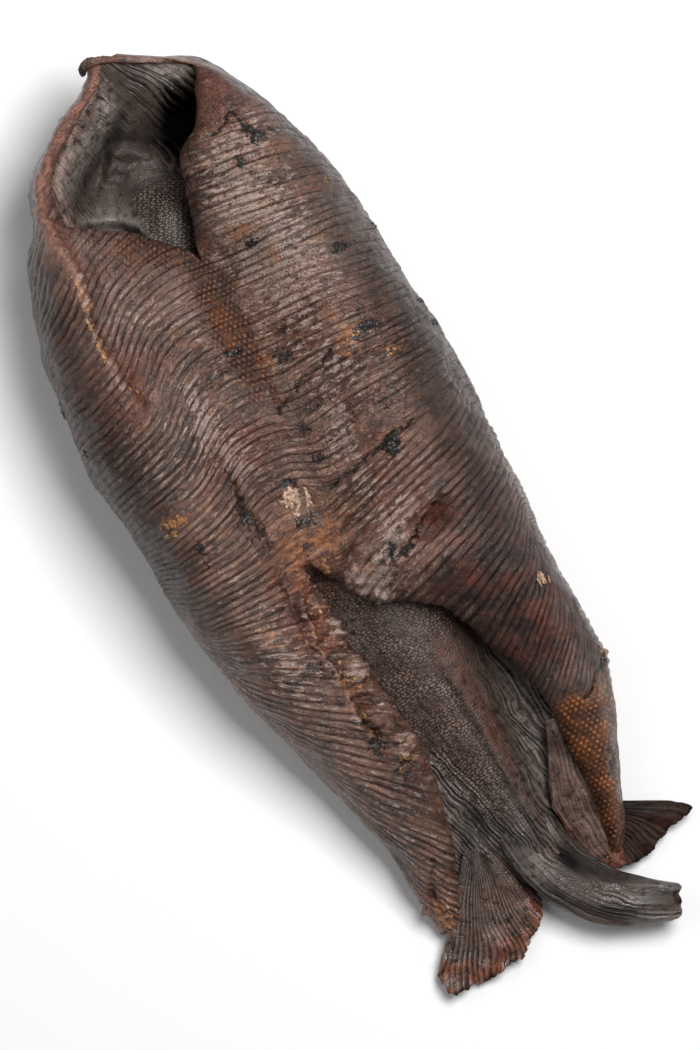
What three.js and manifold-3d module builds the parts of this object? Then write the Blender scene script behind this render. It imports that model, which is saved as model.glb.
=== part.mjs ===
// Smoked ray: a whole ray dried over smoke with both wings curled up over its back until they meet.
// Millimetres, +Z up. The roll lies on its belly along Y with the snout towards +Y and the tail towards -Y.
// A station is the distance from the snout towards the tail, and across is the distance to the ray's right.
import * as THREE from "three";
import Module from "manifold-3d";

const wasm = await Module();
wasm.setup();

// Driving dimensions
const ROLL_LENGTH = 376; // snout rim to the rear tips of the wings
const CREST_HEIGHT = 98; // belly to the top of the right wing's curl, where the roll is fullest
const VALLEY_GAP = 3; // width of the groove where the two wings meet on top
const RIM_WIDTH = 5; // thickness of the upturned snout edge
const TAIL_SIDES = 20;
const FIN_RAYS = 18;
const FIN_STEPS = 9;
const FIN_THICKNESS = 2.6;

// Rings of the roll as [from, to, spacing]: closer where the wings open at the snout and at the tail
const RING_SPANS = [
  [0, 24, 3],
  [24, 92, 4],
  [92, 212, 7.5],
  [212, 310, 4.9],
  [310, ROLL_LENGTH, 6],
];
// Points of a section for each wing: belly, lower side, upper side, inner curl, wall below its edge, half of the floor
const BELLY_POINTS = 2;
const LOWER_POINTS = 4;
const UPPER_POINTS = 6;
const INNER_POINTS = 6;
const WALL_POINTS = 2;
const FLOOR_POINTS = 2;

// A smooth curve through [station, value] pairs, held level beyond its ends
function profile(...knots) {
  const last = knots.length - 1;
  const slopes = knots.map((_, i) => {
    const [s0, v0] = knots[Math.max(i - 1, 0)];
    const [s1, v1] = knots[Math.min(i + 1, last)];
    return (v1 - v0) / (s1 - s0);
  });
  return (station) => {
    const s = THREE.MathUtils.clamp(station, knots[0][0], knots[last][0]);
    const i = Math.min(knots.findLastIndex(([at]) => at <= s), last - 1);
    const span = knots[i + 1][0] - knots[i][0];
    const t = (s - knots[i][0]) / span;
    const back = (1 - t) * (1 - t);
    return (
      back * (1 + 2 * t) * knots[i][1] +
      t * t * (3 - 2 * t) * knots[i + 1][1] +
      span * t * (1 - t) * ((1 - t) * slopes[i] - t * slopes[i + 1])
    );
  };
}

// The roll's outline along its length, shared by both wings
const roll = {
  belly: profile([0, 64], [6, 48], [14, 30], [26, 13], [42, 3], [58, 0], [300, 0], [340, 2], [376, 5]),
  flatShare: profile([0, 0.1], [40, 0.3], [120, 0.5], [280, 0.5], [376, 0.7]),
  sideShare: profile([0, 0.6], [40, 0.5], [120, 0.44], [376, 0.44]),
  floor: profile([0, 66.5], [5, 64], [13, 52], [24, 40], [44, 36], [72, 38], [84, 46], [90, 70], [120, 79], [160, 84],
    [196, 80], [214, 72], [222, 54], [240, 47], [270, 39], [300, 31], [340, 20], [376, 8]),
  openness: profile([78, 1], [94, 0], [204, 0], [222, 1]),
};

// Each wing: its outermost side, its crest, the inner edge of its curl and how far the wall falls back below it
const rightWing = {
  hand: 1,
  side: profile([0, 4], [5, 15], [14, 33], [24, 42], [44, 54], [70, 63], [110, 71], [170, 79], [250, 82], [298, 85],
    [312, 82], [335, 74], [360, 66], [376, 58]),
  crest: profile([0, 2], [10, 20], [24, 36], [60, 40], [110, 42], [170, 44], [225, 50], [250, 60], [300, 69],
    [335, 66], [376, 57]),
  height: profile([0, 69], [14, 76], [40, 88], [80, 95], [150, CREST_HEIGHT], [220, 94], [260, 83], [300, 66],
    [308, 56], [345, 38], [376, 13]),
  edge: profile([0, 0], [8, 14], [16, 29], [26, 26], [40, 20], [47, 10], [60, 7], [76, 4], [88, 2], [110, 5],
    [150, 6], [190, 1], [214, -8], [228, 1], [240, 9], [246, 22], [254, 34], [276, 43], [296, 54], [330, 57], [376, 55]),
  edgeHeight: profile([0, 69], [16, 73], [45, 74], [88, 71], [120, 79], [160, 84], [196, 80], [214, 72], [250, 62],
    [300, 44], [340, 28], [376, 10]),
  undercut: profile([8, 0], [22, 9], [60, 9], [84, 2], [92, 0], [225, 0], [250, 3], [300, 3], [376, 1]),
};
const leftWing = {
  hand: -1,
  side: profile([0, -9], [6, -13], [14, -27], [24, -41], [34, -51], [48, -55], [66, -66], [100, -73], [130, -75.5],
    [152, -74.5], [176, -69.5], [205, -66.5], [234, -60], [262, -53], [300, -39], [335, -27], [352, -26], [376, -21]),
  crest: profile([0, -6], [8, -11], [16, -27], [26, -40], [36, -48], [60, -50], [100, -49], [140, -44], [180, -42],
    [230, -38], [270, -31], [305, -19], [340, -13], [376, -15]),
  height: profile([0, 69], [14, 72], [36, 75], [60, 81], [100, 86], [150, 90], [200, 86], [250, 74], [300, 55],
    [340, 39], [376, 13]),
  edge: profile([0, -3], [8, -8], [16, -22], [26, -34], [36, -43], [54, -44], [62, -30], [70, -18], [80, -6], [88, 0],
    [110, 2], [150, 3], [190, -2], [214, -11], [228, -10], [250, -6], [280, -1], [305, 3], [335, 0], [360, -8], [376, -10]),
  edgeHeight: profile([0, 69], [16, 70], [36, 71], [56, 73], [88, 71], [120, 79], [160, 84], [196, 80], [214, 72],
    [250, 56], [300, 40], [340, 26], [376, 10]),
  undercut: profile([8, 0], [20, 1], [56, 2], [64, 8], [76, 6], [88, 0], [230, 0], [300, 2], [376, 1]),
};

// Folds and dents pressed into the dried skin: [across, station, reach across, reach along, rise]
const DENTS = [
  [41, 219, 13, 7, -8], // deep fold of the right wing above the rear opening
  [-37, 112, 7, 26, -3.5], // trough beside the left wing's fold
  [-26, 178, 4, 26, -2.5], // crease between the left wing and the overlap
  [24, 178, 9, 12, -2], // hollow at the right of the overlap
  [-2, 190, 9, 7, -1.5], // torn patch
];
// The left wing's hard fold runs back from the snout rim as a low ridge
const fold = {
  across: profile([40, -50], [75, -47], [105, -49.5], [140, -46]),
  rise: profile([44, 0], [66, 2.6], [110, 2.2], [145, 0]),
  reach: 3,
};

function relief(across, station) {
  let rise = fold.rise(station) * Math.exp(-(((across - fold.across(station)) / fold.reach) ** 2));
  for (const [u, s, reachAcross, reachAlong, height] of DENTS) {
    rise += height * Math.exp(-(((across - u) / reachAcross) ** 2) - ((station - s) / reachAlong) ** 2);
  }
  return rise;
}

const mix = THREE.MathUtils.lerp;
const at = (across, station, height) => new THREE.Vector3(across, -station, height);

// One wing's half of the section at a station, from beside the belly line up to beside the middle of the floor
function wingPoints(wing, station, middle) {
  const side = wing.side(station);
  const crest = wing.crest(station);
  const top = wing.height(station);
  const bottom = Math.max(roll.belly(station), 0);
  const open = THREE.MathUtils.clamp(roll.openness(station), 0, 1);
  const edge = wing.edge(station) + ((1 - open) * wing.hand * VALLEY_GAP) / 2;
  const lip = wing.edgeHeight(station);
  const waist = mix(bottom, top, roll.sideShare(station));
  const flat = mix(middle, side, roll.flatShare(station));
  const foot = edge + wing.hand * wing.undercut(station) * open;
  const floor = mix(lip, roll.floor(station), open);
  const centre = floorCentre(station);
  const points = [];
  const put = (across, height, carved = 0) =>
    points.push(at(across, station, height + carved * relief(across, station)));

  for (let i = 1; i <= BELLY_POINTS; i++) {
    put(mix(middle, flat, i / BELLY_POINTS), bottom);
  }
  for (let i = 1; i <= LOWER_POINTS; i++) {
    const turn = ((i / LOWER_POINTS) * Math.PI) / 2;
    put(flat + (side - flat) * Math.sin(turn), bottom + (waist - bottom) * (1 - Math.cos(turn)));
  }
  for (let i = 1; i <= UPPER_POINTS; i++) {
    const turn = ((i / UPPER_POINTS) * Math.PI) / 2;
    put(crest + (side - crest) * Math.cos(turn), waist + (top - waist) * Math.sin(turn), Math.sin(turn));
  }
  for (let i = 1; i <= INNER_POINTS; i++) {
    const share = i / INNER_POINTS;
    const turn = (share * Math.PI) / 2;
    const rolled = lip + (top - lip) * Math.cos(turn);
    const shallow = lip + ((top - lip) * (1 + Math.cos(2 * turn))) / 2;
    put(mix(crest, edge, mix(share, Math.sin(turn), open)), mix(shallow, rolled, open), 1);
  }
  for (let i = 1; i <= WALL_POINTS; i++) {
    const share = i / (WALL_POINTS + 1);
    put(mix(edge + (foot - edge) * share, mix(edge, centre, share / 2), 1 - open), mix(lip, floor, share ** 0.7), 1 - open);
  }
  for (let i = 1; i <= FLOOR_POINTS; i++) {
    const share = i / (FLOOR_POINTS + 1);
    put(mix(foot, centre, mix((1 + share) / 2, share, open)), floor, 1 - open);
  }
  return points;
}

function floorCentre(station) {
  return (rightWing.edge(station) + leftWing.edge(station)) / 2;
}

function rollSection(station) {
  const middle = (rightWing.side(station) + leftWing.side(station)) / 2;
  const open = THREE.MathUtils.clamp(roll.openness(station), 0, 1);
  const centre = floorCentre(station);
  const carved = (1 - open) * relief(centre, station);
  const floor = mix(rightWing.edgeHeight(station), roll.floor(station), open) + carved;
  return [
    at(middle, station, Math.max(roll.belly(station), 0)),
    ...wingPoints(rightWing, station, middle),
    at(centre, station, floor),
    ...wingPoints(leftWing, station, middle).reverse(),
  ];
}

function ringStations() {
  const stations = [0];
  for (const [from, to, spacing] of RING_SPANS) {
    const count = Math.round((to - from) / spacing);
    for (let i = 1; i <= count; i++) stations.push(from + ((to - from) * i) / count);
  }
  return stations;
}

// A closed solid from a stack of rings with the same number of points, capped flat at both ends
function loft(rings, flatten) {
  const around = rings[0].length;
  const vertices = rings.flat().flatMap((p) => [p.x, p.y, p.z]);
  const triangles = [];
  for (let i = 0; i + 1 < rings.length; i++) {
    for (let j = 0; j < around; j++) {
      const next = (j + 1) % around;
      const [a, b, c, d] = [i * around + j, i * around + next, (i + 1) * around + next, (i + 1) * around + j];
      triangles.push(a, b, c, a, c, d);
    }
  }
  const cap = (ring, start, turned) => {
    const flat = ring.map(flatten);
    for (const [a, b, c] of THREE.ShapeUtils.triangulateShape(flat, [])) {
      const anticlockwise = THREE.ShapeUtils.area([flat[a], flat[b], flat[c]]) > 0;
      const swapped = anticlockwise === turned;
      triangles.push(start + a, start + (swapped ? c : b), start + (swapped ? b : c));
    }
  };
  cap(rings[0], 0, true);
  cap(rings.at(-1), (rings.length - 1) * around, false);
  return solid(vertices, triangles);
}

function solid(vertices, triangles) {
  const mesh = new wasm.Mesh({
    numProp: 3,
    vertProperties: new Float32Array(vertices),
    triVerts: new Uint32Array(triangles),
  });
  return new wasm.Manifold(mesh);
}

const flattened = (value) => Math.sign(value) * Math.abs(value) ** 0.82;

// A tapering limb along a smooth path: knots are [across, station, height, half width, half thickness]
function limb(knots, steps, sides) {
  const path = new THREE.CatmullRomCurve3(knots.map(([u, s, z]) => at(u, s, z)), false, "centripetal");
  const girth = new THREE.CatmullRomCurve3(knots.map(([, , , w, h]) => new THREE.Vector3(w, h, 0)), false, "centripetal");
  const rings = [];
  for (let i = 0; i <= steps; i++) {
    const centre = path.getPoint(i / steps);
    const { x: halfWidth, y: halfThickness } = girth.getPoint(i / steps);
    const along = path.getTangent(i / steps);
    const out = new THREE.Vector3().crossVectors(along, new THREE.Vector3(0, 0, 1)).normalize();
    const up = new THREE.Vector3().crossVectors(out, along);
    const ring = [];
    for (let j = 0; j < sides; j++) {
      const turn = (j / sides) * 2 * Math.PI;
      ring.push(
        centre
          .clone()
          .addScaledVector(out, -halfWidth * flattened(Math.sin(turn)))
          .addScaledVector(up, -halfThickness * flattened(Math.cos(turn))),
      );
    }
    rings.push(ring);
  }
  const start = rings[0];
  return loft(rings, (p, k) => {
    const turn = (k / start.length) * 2 * Math.PI;
    return new THREE.Vector2(Math.sin(turn), -Math.cos(turn));
  });
}

// A pelvic fin: a thin wavy fan that spreads from its root, thinner and lower towards its ragged margin
function pelvicFin({ root, turnFrom, turnTo, reach, drop, wave }) {
  const vertices = [];
  const triangles = [];
  const index = (face, i, j) => (face * (FIN_RAYS + 1) + i) * (FIN_STEPS + 1) + j;
  for (const face of [1, -1]) {
    for (let i = 0; i <= FIN_RAYS; i++) {
      const turn = THREE.MathUtils.degToRad(mix(turnFrom, turnTo, i / FIN_RAYS));
      const length = reach(i / FIN_RAYS);
      for (let j = 0; j <= FIN_STEPS; j++) {
        const share = 0.12 + (0.88 * j) / FIN_STEPS;
        const [u, s, z] = root;
        const sway = wave * share * Math.sin((i / FIN_RAYS) * 3 * Math.PI);
        const half = (FIN_THICKNESS / 2) * (1.5 - 0.7 * share);
        const p = at(u + length * share * Math.sin(turn), s + length * share * Math.cos(turn), z - drop * share + sway);
        vertices.push(p.x, p.y, p.z + face * half);
      }
    }
  }
  const quad = (a, b, c, d) => triangles.push(a, b, c, a, c, d);
  for (let i = 0; i < FIN_RAYS; i++) {
    for (let j = 0; j < FIN_STEPS; j++) {
      quad(index(0, i, j), index(0, i, j + 1), index(0, i + 1, j + 1), index(0, i + 1, j));
      quad(index(1, i, j), index(1, i + 1, j), index(1, i + 1, j + 1), index(1, i, j + 1));
    }
    quad(index(0, i, 0), index(0, i + 1, 0), index(1, i + 1, 0), index(1, i, 0));
    quad(index(0, i, FIN_STEPS), index(1, i, FIN_STEPS), index(1, i + 1, FIN_STEPS), index(0, i + 1, FIN_STEPS));
  }
  for (let j = 0; j < FIN_STEPS; j++) {
    quad(index(0, 0, j), index(1, 0, j), index(1, 0, j + 1), index(0, 0, j + 1));
    quad(index(0, FIN_RAYS, j), index(0, FIN_RAYS, j + 1), index(1, FIN_RAYS, j + 1), index(1, FIN_RAYS, j));
  }
  return solid(vertices, triangles);
}

// Head and back between the wings, running out into the stub of the tail
const BACK_KNOTS = [
  [-7, 20, 34, 8, 6],
  [-6, 34, 35, 21, 16],
  [-6, 58, 36, 30, 25],
  [-2, 95, 36, 32, 24],
  [4, 160, 36, 34, 22],
  [12, 225, 38, 30, 21],
  [20, 262, 36, 26, 18],
  [25, 300, 30, 21, 15],
  [28, 334, 24, 16, 12],
  [32, 360, 19, 14, 10.5],
  [45, 385, 17, 12, 9],
  [58, 394, 17, 10.3, 8.4],
  [71.5, 401.5, 17, 7.8, 7],
];
// The snout's corner curls outwards in a small hook
const HOOK_KNOTS = [
  [6, 5, 68, 3, RIM_WIDTH / 2],
  [0, 0, 71, 4, RIM_WIDTH / 2],
  [-7, -1.5, 71, 4, RIM_WIDTH / 2],
  [-11, 0.5, 68, 3, RIM_WIDTH / 2],
  [-11, 1.5, 64, 2, 2],
];

function wholeRay() {
  const inSection = (p) => new THREE.Vector2(p.x, p.z);
  const wings = loft(ringStations().map(rollSection), inSection);
  const back = limb(BACK_KNOTS, 40, TAIL_SIDES);
  const hook = limb(HOOK_KNOTS, 10, 10);
  const leftFin = pelvicFin({
    root: [7, 340, 20],
    turnFrom: -35.5,
    turnTo: 17.5,
    reach: profile([0, 62], [0.1, 67.5], [0.19, 66], [0.34, 61], [0.54, 58], [0.67, 53.5], [0.83, 48], [1, 41]),
    drop: 13,
    wave: 1.6,
  });
  const rightFin = pelvicFin({
    root: [54, 350, 13],
    turnFrom: 6,
    turnTo: 66,
    reach: profile([0, 29], [0.21, 31.6], [0.45, 33.3], [0.71, 34.7], [0.87, 40], [0.95, 42.5], [1, 34]),
    drop: 5,
    wave: 1.2,
  });
  return wings.add(back).add(hook).add(leftFin).add(rightFin);
}

function geometryOf(manifold) {
  const { vertProperties, triVerts } = manifold.getMesh();
  const geometry = new THREE.BufferGeometry();
  geometry.setAttribute("position", new THREE.BufferAttribute(vertProperties, 3));
  geometry.setIndex(new THREE.BufferAttribute(triVerts, 1));
  geometry.computeBoundingBox();
  const { min, max } = geometry.boundingBox;
  geometry.translate(-(min.x + max.x) / 2, -(min.y + max.y) / 2, -min.z); // origin under the middle of the ray
  geometry.computeVertexNormals();
  return geometry;
}

const smokedSkin = new THREE.MeshStandardMaterial({ color: 0x5a4942, roughness: 0.55, metalness: 0 });
const ray = new THREE.Mesh(geometryOf(wholeRay()), smokedSkin);
ray.name = "smoked_ray";

const part = new THREE.Group();
part.add(ray);
export default part;
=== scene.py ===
import math

import bpy
import numpy as np
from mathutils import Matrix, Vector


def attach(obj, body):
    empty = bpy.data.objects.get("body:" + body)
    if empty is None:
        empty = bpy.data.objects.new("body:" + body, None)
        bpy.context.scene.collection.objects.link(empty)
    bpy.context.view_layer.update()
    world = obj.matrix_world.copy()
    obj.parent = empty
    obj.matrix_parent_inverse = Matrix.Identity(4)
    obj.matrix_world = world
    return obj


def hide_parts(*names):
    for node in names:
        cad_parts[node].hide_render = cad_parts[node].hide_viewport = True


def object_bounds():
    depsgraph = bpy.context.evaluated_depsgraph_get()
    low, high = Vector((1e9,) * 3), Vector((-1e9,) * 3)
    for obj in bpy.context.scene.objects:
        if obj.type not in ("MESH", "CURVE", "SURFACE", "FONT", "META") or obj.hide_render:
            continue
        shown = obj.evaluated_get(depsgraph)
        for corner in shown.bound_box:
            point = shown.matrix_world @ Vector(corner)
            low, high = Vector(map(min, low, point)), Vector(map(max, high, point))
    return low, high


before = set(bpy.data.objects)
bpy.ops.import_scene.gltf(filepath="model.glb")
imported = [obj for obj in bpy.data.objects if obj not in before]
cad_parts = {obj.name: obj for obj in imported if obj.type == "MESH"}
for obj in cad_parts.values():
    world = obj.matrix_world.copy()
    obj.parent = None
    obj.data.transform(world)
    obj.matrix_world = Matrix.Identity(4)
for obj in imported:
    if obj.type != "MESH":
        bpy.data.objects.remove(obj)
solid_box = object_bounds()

# Right wing
# The ray's right wing: a fan of fin rays under thin belly skin, which smoking has curled up over the back.
# It carries its half of the belly and of the hollows' floor, and meets the left wing in a valley on top.
MM = 0.001  # the ray is shaped in millimetres: across it to its right, and stations from the snout back
LEFTMOST = -75.55  # where the wings reach furthest left, across the ray
FOREMOST = -5.35  # where the snout reaches furthest forward, along the ray
MIDDLE_ACROSS = LEFTMOST - solid_box[0][0] / MM
MIDDLE_STATION = FOREMOST + solid_box[1][1] / MM
ROLL_LENGTH = 376
SNOUT_HEIGHT = 67.5  # where the roll closes in front
SNOUT_ROUND = 2  # length over which it rounds off there
REAR_HEIGHT = 6.5
REAR_ROUND = 6
WALL_THICKNESS = 5  # least flesh between the hollow and the outer skin
FLOOR_THICKNESS = 3
FLOOR_DRAWN_FROM = 340  # station behind which the hollow's floor is drawn forwards
FLOOR_DRAWN_BY = 0.75
WING_ROWS = 656
# columns of a wing's sheet, from the belly line up over the crest and down to the hollow's floor
RUNS = {"belly": 5, "lower": 13, "upper": 46, "inner": 54, "wall": 18, "floor": 14}
WING_COLUMNS = sum(RUNS.values())
CREST_COLUMN = RUNS["belly"] + RUNS["lower"] + RUNS["upper"]
RIDGE_PITCH = 3.6
WEAVE_PITCH = 2.1


def along(*knots):
    """A smooth curve through (station, value) pairs, held level beyond its ends."""
    at, value = np.array(knots, float).T
    slope = np.gradient(value)
    slope[1:-1] = (value[2:] - value[:-2]) / (at[2:] - at[:-2])
    slope[0] = (value[1] - value[0]) / (at[1] - at[0])
    slope[-1] = (value[-1] - value[-2]) / (at[-1] - at[-2])

    def read(station):
        s = np.clip(station, at[0], at[-1])
        i = np.clip(np.searchsorted(at, s, side="right") - 1, 0, len(at) - 2)
        span = at[i + 1] - at[i]
        t = (s - at[i]) / span
        ends = (1 - t) ** 2 * (1 + 2 * t) * value[i] + t**2 * (3 - 2 * t) * value[i + 1]
        return ends + span * t * (1 - t) * ((1 - t) * slope[i] - t * slope[i + 1])

    return read


def mix(a, b, share):
    return a + (b - a) * share


def step(low, high, value):
    """0 below low, 1 above high, and a smooth rise between them."""
    t = np.clip((value - low) / (high - low), 0, 1)
    return t * t * (3 - 2 * t)


def bell(value):
    """1 at 0, falling off to nothing about 2 away on either side."""
    return np.exp(-(value**2))


def wave(value):
    """A smooth wave that repeats at every whole number."""
    return np.sin(value * 2 * math.pi)


def lumps(x, y, size, seed):
    """Smooth random swellings between -1 and 1, about size millimetres across."""
    i, j = np.floor(x / size), np.floor(y / size)
    fx, fy = x / size - i, y / size - j
    fx, fy = fx * fx * (3 - 2 * fx), fy * fy * (3 - 2 * fy)

    def corner(a, b):
        return np.modf(np.sin((i + a) * 127.1 + (j + b) * 311.7 + seed * 74.7) * 43758.5453)[0]

    return mix(mix(corner(0, 0), corner(1, 0), fx), mix(corner(0, 1), corner(1, 1), fx), fy)


def spots(u, v, places):
    """How strongly stains cover a point, each (across, station, reach across, reach along, strength)."""
    cover = np.zeros(np.broadcast(u, v).shape)
    for across, station, wide, long, strength in places:
        cover += strength * np.exp(-(((u - across) / wide) ** 2) - ((v - station) / long) ** 2)
    return cover


def near_line(u, v, line, reach):
    """1 on a bent line of (across, station) points, falling to 0 about reach millimetres beside it."""
    best = np.full(np.broadcast(u, v).shape, 1e9)
    for (u0, v0), (u1, v1) in zip(line, line[1:]):
        length = (u1 - u0) ** 2 + (v1 - v0) ** 2
        t = np.clip(((u - u0) * (u1 - u0) + (v - v0) * (v1 - v0)) / length, 0, 1)
        best = np.minimum(best, (u - mix(u0, u1, t)) ** 2 + (v - mix(v0, v1, t)) ** 2)
    return np.exp(-best / reach**2)


roll = {
    "belly": along((0, 64), (6, 48), (14, 30), (26, 13), (42, 3), (58, 0), (300, 0), (340, 2), (376, 5)),
    "flat": along((0, 0.1), (40, 0.3), (120, 0.5), (280, 0.5), (376, 0.7)),
    "waist": along((0, 0.6), (40, 0.5), (120, 0.44), (376, 0.44)),
    "floor": along((0, 66.5), (5, 60), (13, 36), (24, 14), (44, 10), (72, 10), (84, 34), (90, 70), (120, 79),
                   (160, 84), (196, 80), (214, 72), (222, 48), (240, 34), (270, 24), (300, 18), (340, 11),
                   (376, 7)),
    "open": along((78, 1), (94, 0), (208, 0), (226, 1)),
}
# side, crest and edge lie across the ray; height is the crest's and lip the edge's
right = {
    "hand": 1,
    "side": along((0, 4), (5, 15), (14, 33), (24, 42), (44, 54), (70, 63), (110, 71), (170, 79), (250, 82),
                  (298, 85), (312, 82), (335, 74), (360, 66), (376, 58)),
    "crest": along((0, 2), (10, 20), (24, 36), (60, 40), (110, 42), (170, 44), (225, 50), (250, 60),
                   (300, 69), (335, 66), (376, 57)),
    "height": along((0, 69), (14, 76), (40, 88), (80, 95), (150, 98), (220, 94), (260, 83), (300, 66),
                    (308, 56), (345, 38), (376, 13)),
    "edge": along((0, 0), (8, 14), (16, 29), (26, 26), (40, 20), (47, 10), (60, 7), (76, 4), (88, 2),
                  (110, 5), (150, 6), (190, 1), (214, -8), (228, 1), (240, 9), (246, 22), (254, 34),
                  (276, 43), (296, 54), (330, 57), (376, 55)),
    "lip": along((0, 69), (16, 73), (45, 74), (88, 71), (120, 79), (160, 84), (196, 80), (214, 72), (250, 62),
                 (300, 44), (340, 28), (376, 10)),
    "undercut": along((8, 0), (22, 9), (60, 9), (84, 2), (92, 0), (225, 0), (250, 3), (300, 3), (376, 1)),
}
left = {
    "hand": -1,
    "side": along((0, -9), (6, -13), (14, -27), (24, -41), (34, -51), (48, -55), (66, -66), (100, -73),
                  (130, -75.5), (152, -74.5), (176, -69.5), (205, -66.5), (234, -60), (262, -53), (300, -39),
                  (335, -27), (352, -26), (376, -21)),
    "crest": along((0, -6), (8, -11), (16, -25), (26, -37.5), (36, -46), (60, -49.5), (100, -49), (140, -44),
                   (180, -42), (230, -38), (270, -31), (305, -19), (340, -13), (376, -15)),
    "height": along((0, 69), (14, 72), (36, 75), (60, 81), (100, 86), (150, 90), (200, 86), (250, 74),
                    (300, 55), (340, 39), (376, 13)),
    "edge": along((0, -3), (8, -7), (16, -19), (26, -31), (36, -40), (54, -42), (62, -30), (70, -18),
                  (80, -6), (88, 0), (110, 2), (150, 3), (190, -2), (214, -11), (228, -10), (250, -6),
                  (280, -1), (305, 3), (335, 0), (360, -8), (376, -10)),
    "lip": along((0, 69), (16, 70), (36, 71), (56, 73), (88, 71), (120, 79), (160, 84), (196, 80), (214, 72),
                 (250, 56), (300, 40), (340, 26), (376, 10)),
    "undercut": along((8, 0), (20, 1), (56, 2), (64, 8), (76, 6), (88, 0), (230, 0), (300, 2), (376, 1)),
}
DENTS = [(41, 222, 13, 7, -7), (-37, 112, 7, 26, -3.5), (-26, 178, 4, 26, -2.5), (24, 178, 9, 12, -2),
         (-2, 190, 9, 7, -1.5)]
fold_across = along((40, -48), (75, -46.5), (105, -49), (125, -45.5), (145, -43))
fold_rise = along((44, 0), (66, 2.6), (80, 3.6), (112, 3.0), (148, 0))


def pressed(u, v):
    """Folds and dents of the dried skin. The fold climbs slowly from the flank and drops sharply behind."""
    beside = u - fold_across(v)
    fold = bell(beside / np.where(beside < 0, 6, 1.8)) - 0.5 * bell((beside - 5) / 3.5)
    return fold_rise(v) * fold + spots(u, v, DENTS)


def wing_shape(wing, station):
    """Points of one wing at each station, from the belly line round to the middle of the hollow's floor."""
    s = station[:, None]
    side, crest, top, lip = (wing[name](s) for name in ("side", "crest", "height", "lip"))
    bottom = np.maximum(roll["belly"](s), 0)
    opened = np.clip(roll["open"](s), 0, 1)
    edge = wing["edge"](s)
    foot = edge + wing["hand"] * wing["undercut"](s) * opened
    floor = mix(lip, np.maximum(roll["floor"](s), bottom + FLOOR_THICKNESS), opened)
    centre = (right["edge"](s) + left["edge"](s)) / 2
    middle = (right["side"](s) + left["side"](s)) / 2
    waist = mix(bottom, top, roll["waist"](s))
    flat = mix(middle, side, roll["flat"](s))
    runs = {name: np.arange(1, count + 1) / count for name, count in RUNS.items()}
    spread = np.concatenate([[0], runs["belly"]])
    lower, upper, inner = (runs[name] * math.pi / 2 for name in ("lower", "upper", "inner"))
    drop, reach = runs["wall"], runs["floor"]
    rolled = lip + (top - lip) * np.cos(inner)
    shallow = lip + (top - lip) * (1 + np.cos(2 * inner)) / 2
    across = np.concatenate([
        mix(middle, flat, spread),
        flat + (side - flat) * np.sin(lower),
        crest + (side - crest) * np.cos(upper),
        mix(crest, edge, mix(runs["inner"], np.sin(inner), opened)),
        mix(edge + (foot - edge) * drop, mix(edge, centre, drop / 2), 1 - opened),
        mix(foot, centre, mix((1 + reach) / 2, reach, opened)),
    ], axis=1)
    height = np.concatenate([
        bottom + 0 * spread,
        bottom + (waist - bottom) * (1 - np.cos(lower)),
        waist + (top - waist) * np.sin(upper),
        mix(shallow, rolled, opened),
        mix(lip, floor, drop**0.7),
        floor + 0 * reach,
    ], axis=1)
    carved = [0 * spread, 0 * lower, np.sin(upper), 1 + 0 * inner]
    carved += [(1 - opened) + 0 * drop, (1 - opened) + 0 * reach]
    carved = np.concatenate([np.broadcast_to(c, (len(station), c.shape[-1])) for c in carved], axis=1)
    depth = np.clip((height - bottom) / (waist - bottom + 0.01), 0, 1)
    shell = flat + (side - flat) * np.sqrt(1 - (1 - depth) ** 2) - WALL_THICKNESS * wing["hand"]
    past_edge = np.arange(WING_COLUMNS + 1) > CREST_COLUMN + RUNS["inner"]
    across = np.where(past_edge & (wing["hand"] * (across - shell) > 0), shell, across)
    height = height + carved * pressed(across, s)
    from_end = np.minimum(s / SNOUT_ROUND, (ROLL_LENGTH - s) / REAR_ROUND)
    ends = np.sqrt(np.clip(1 - (1 - from_end) ** 2, 0, 1))
    ends = np.where((s > SNOUT_ROUND) & (s < ROLL_LENGTH - REAR_ROUND), 1, ends)
    height = mix(np.where(s < ROLL_LENGTH / 2, SNOUT_HEIGHT, REAR_HEIGHT), height, ends)
    sunk = np.concatenate([np.zeros(WING_COLUMNS + 1 - RUNS["floor"]), np.ones(RUNS["floor"])])
    back_from = s - FLOOR_DRAWN_BY * np.maximum(s - FLOOR_DRAWN_FROM, 0) * sunk
    return np.stack([across, -back_from + 0 * across, height], axis=2)


def outward(points):
    """Unit normals of a sheet of points, on the side that its faces show."""
    normal = np.cross(np.gradient(points, axis=1), np.gradient(points, axis=0))
    return normal / (np.linalg.norm(normal, axis=2, keepdims=True) + 1e-9)


def girth(points):
    """Distance along each row of a sheet from its first column."""
    gaps = np.linalg.norm(np.diff(points, axis=1), axis=2)
    return np.concatenate([np.zeros((len(points), 1)), np.cumsum(gaps, axis=1)], axis=1)


def sheet_piece(name, points, marks):
    """A grid shaped to a sheet of points in the ray's millimetres, with its marks as vertex attributes."""
    rows, columns = points.shape[:2]
    bpy.ops.object.select_all(action="DESELECT")
    bpy.ops.mesh.primitive_grid_add(x_subdivisions=columns - 1, y_subdivisions=rows - 1, size=1)
    piece = bpy.context.object
    piece.name = name
    piece.data.name = name
    placed = (points + [-MIDDLE_ACROSS, MIDDLE_STATION, 0]) * MM
    piece.data.vertices.foreach_set("co", placed.astype(np.float32).ravel())
    for label, value in marks.items():
        layer = piece.data.attributes.new(label, "FLOAT", "POINT")
        layer.data.foreach_set("value", np.broadcast_to(value, (rows, columns)).astype(np.float32).ravel())
    piece.data.update()
    bpy.ops.object.shade_smooth()
    return piece


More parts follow.
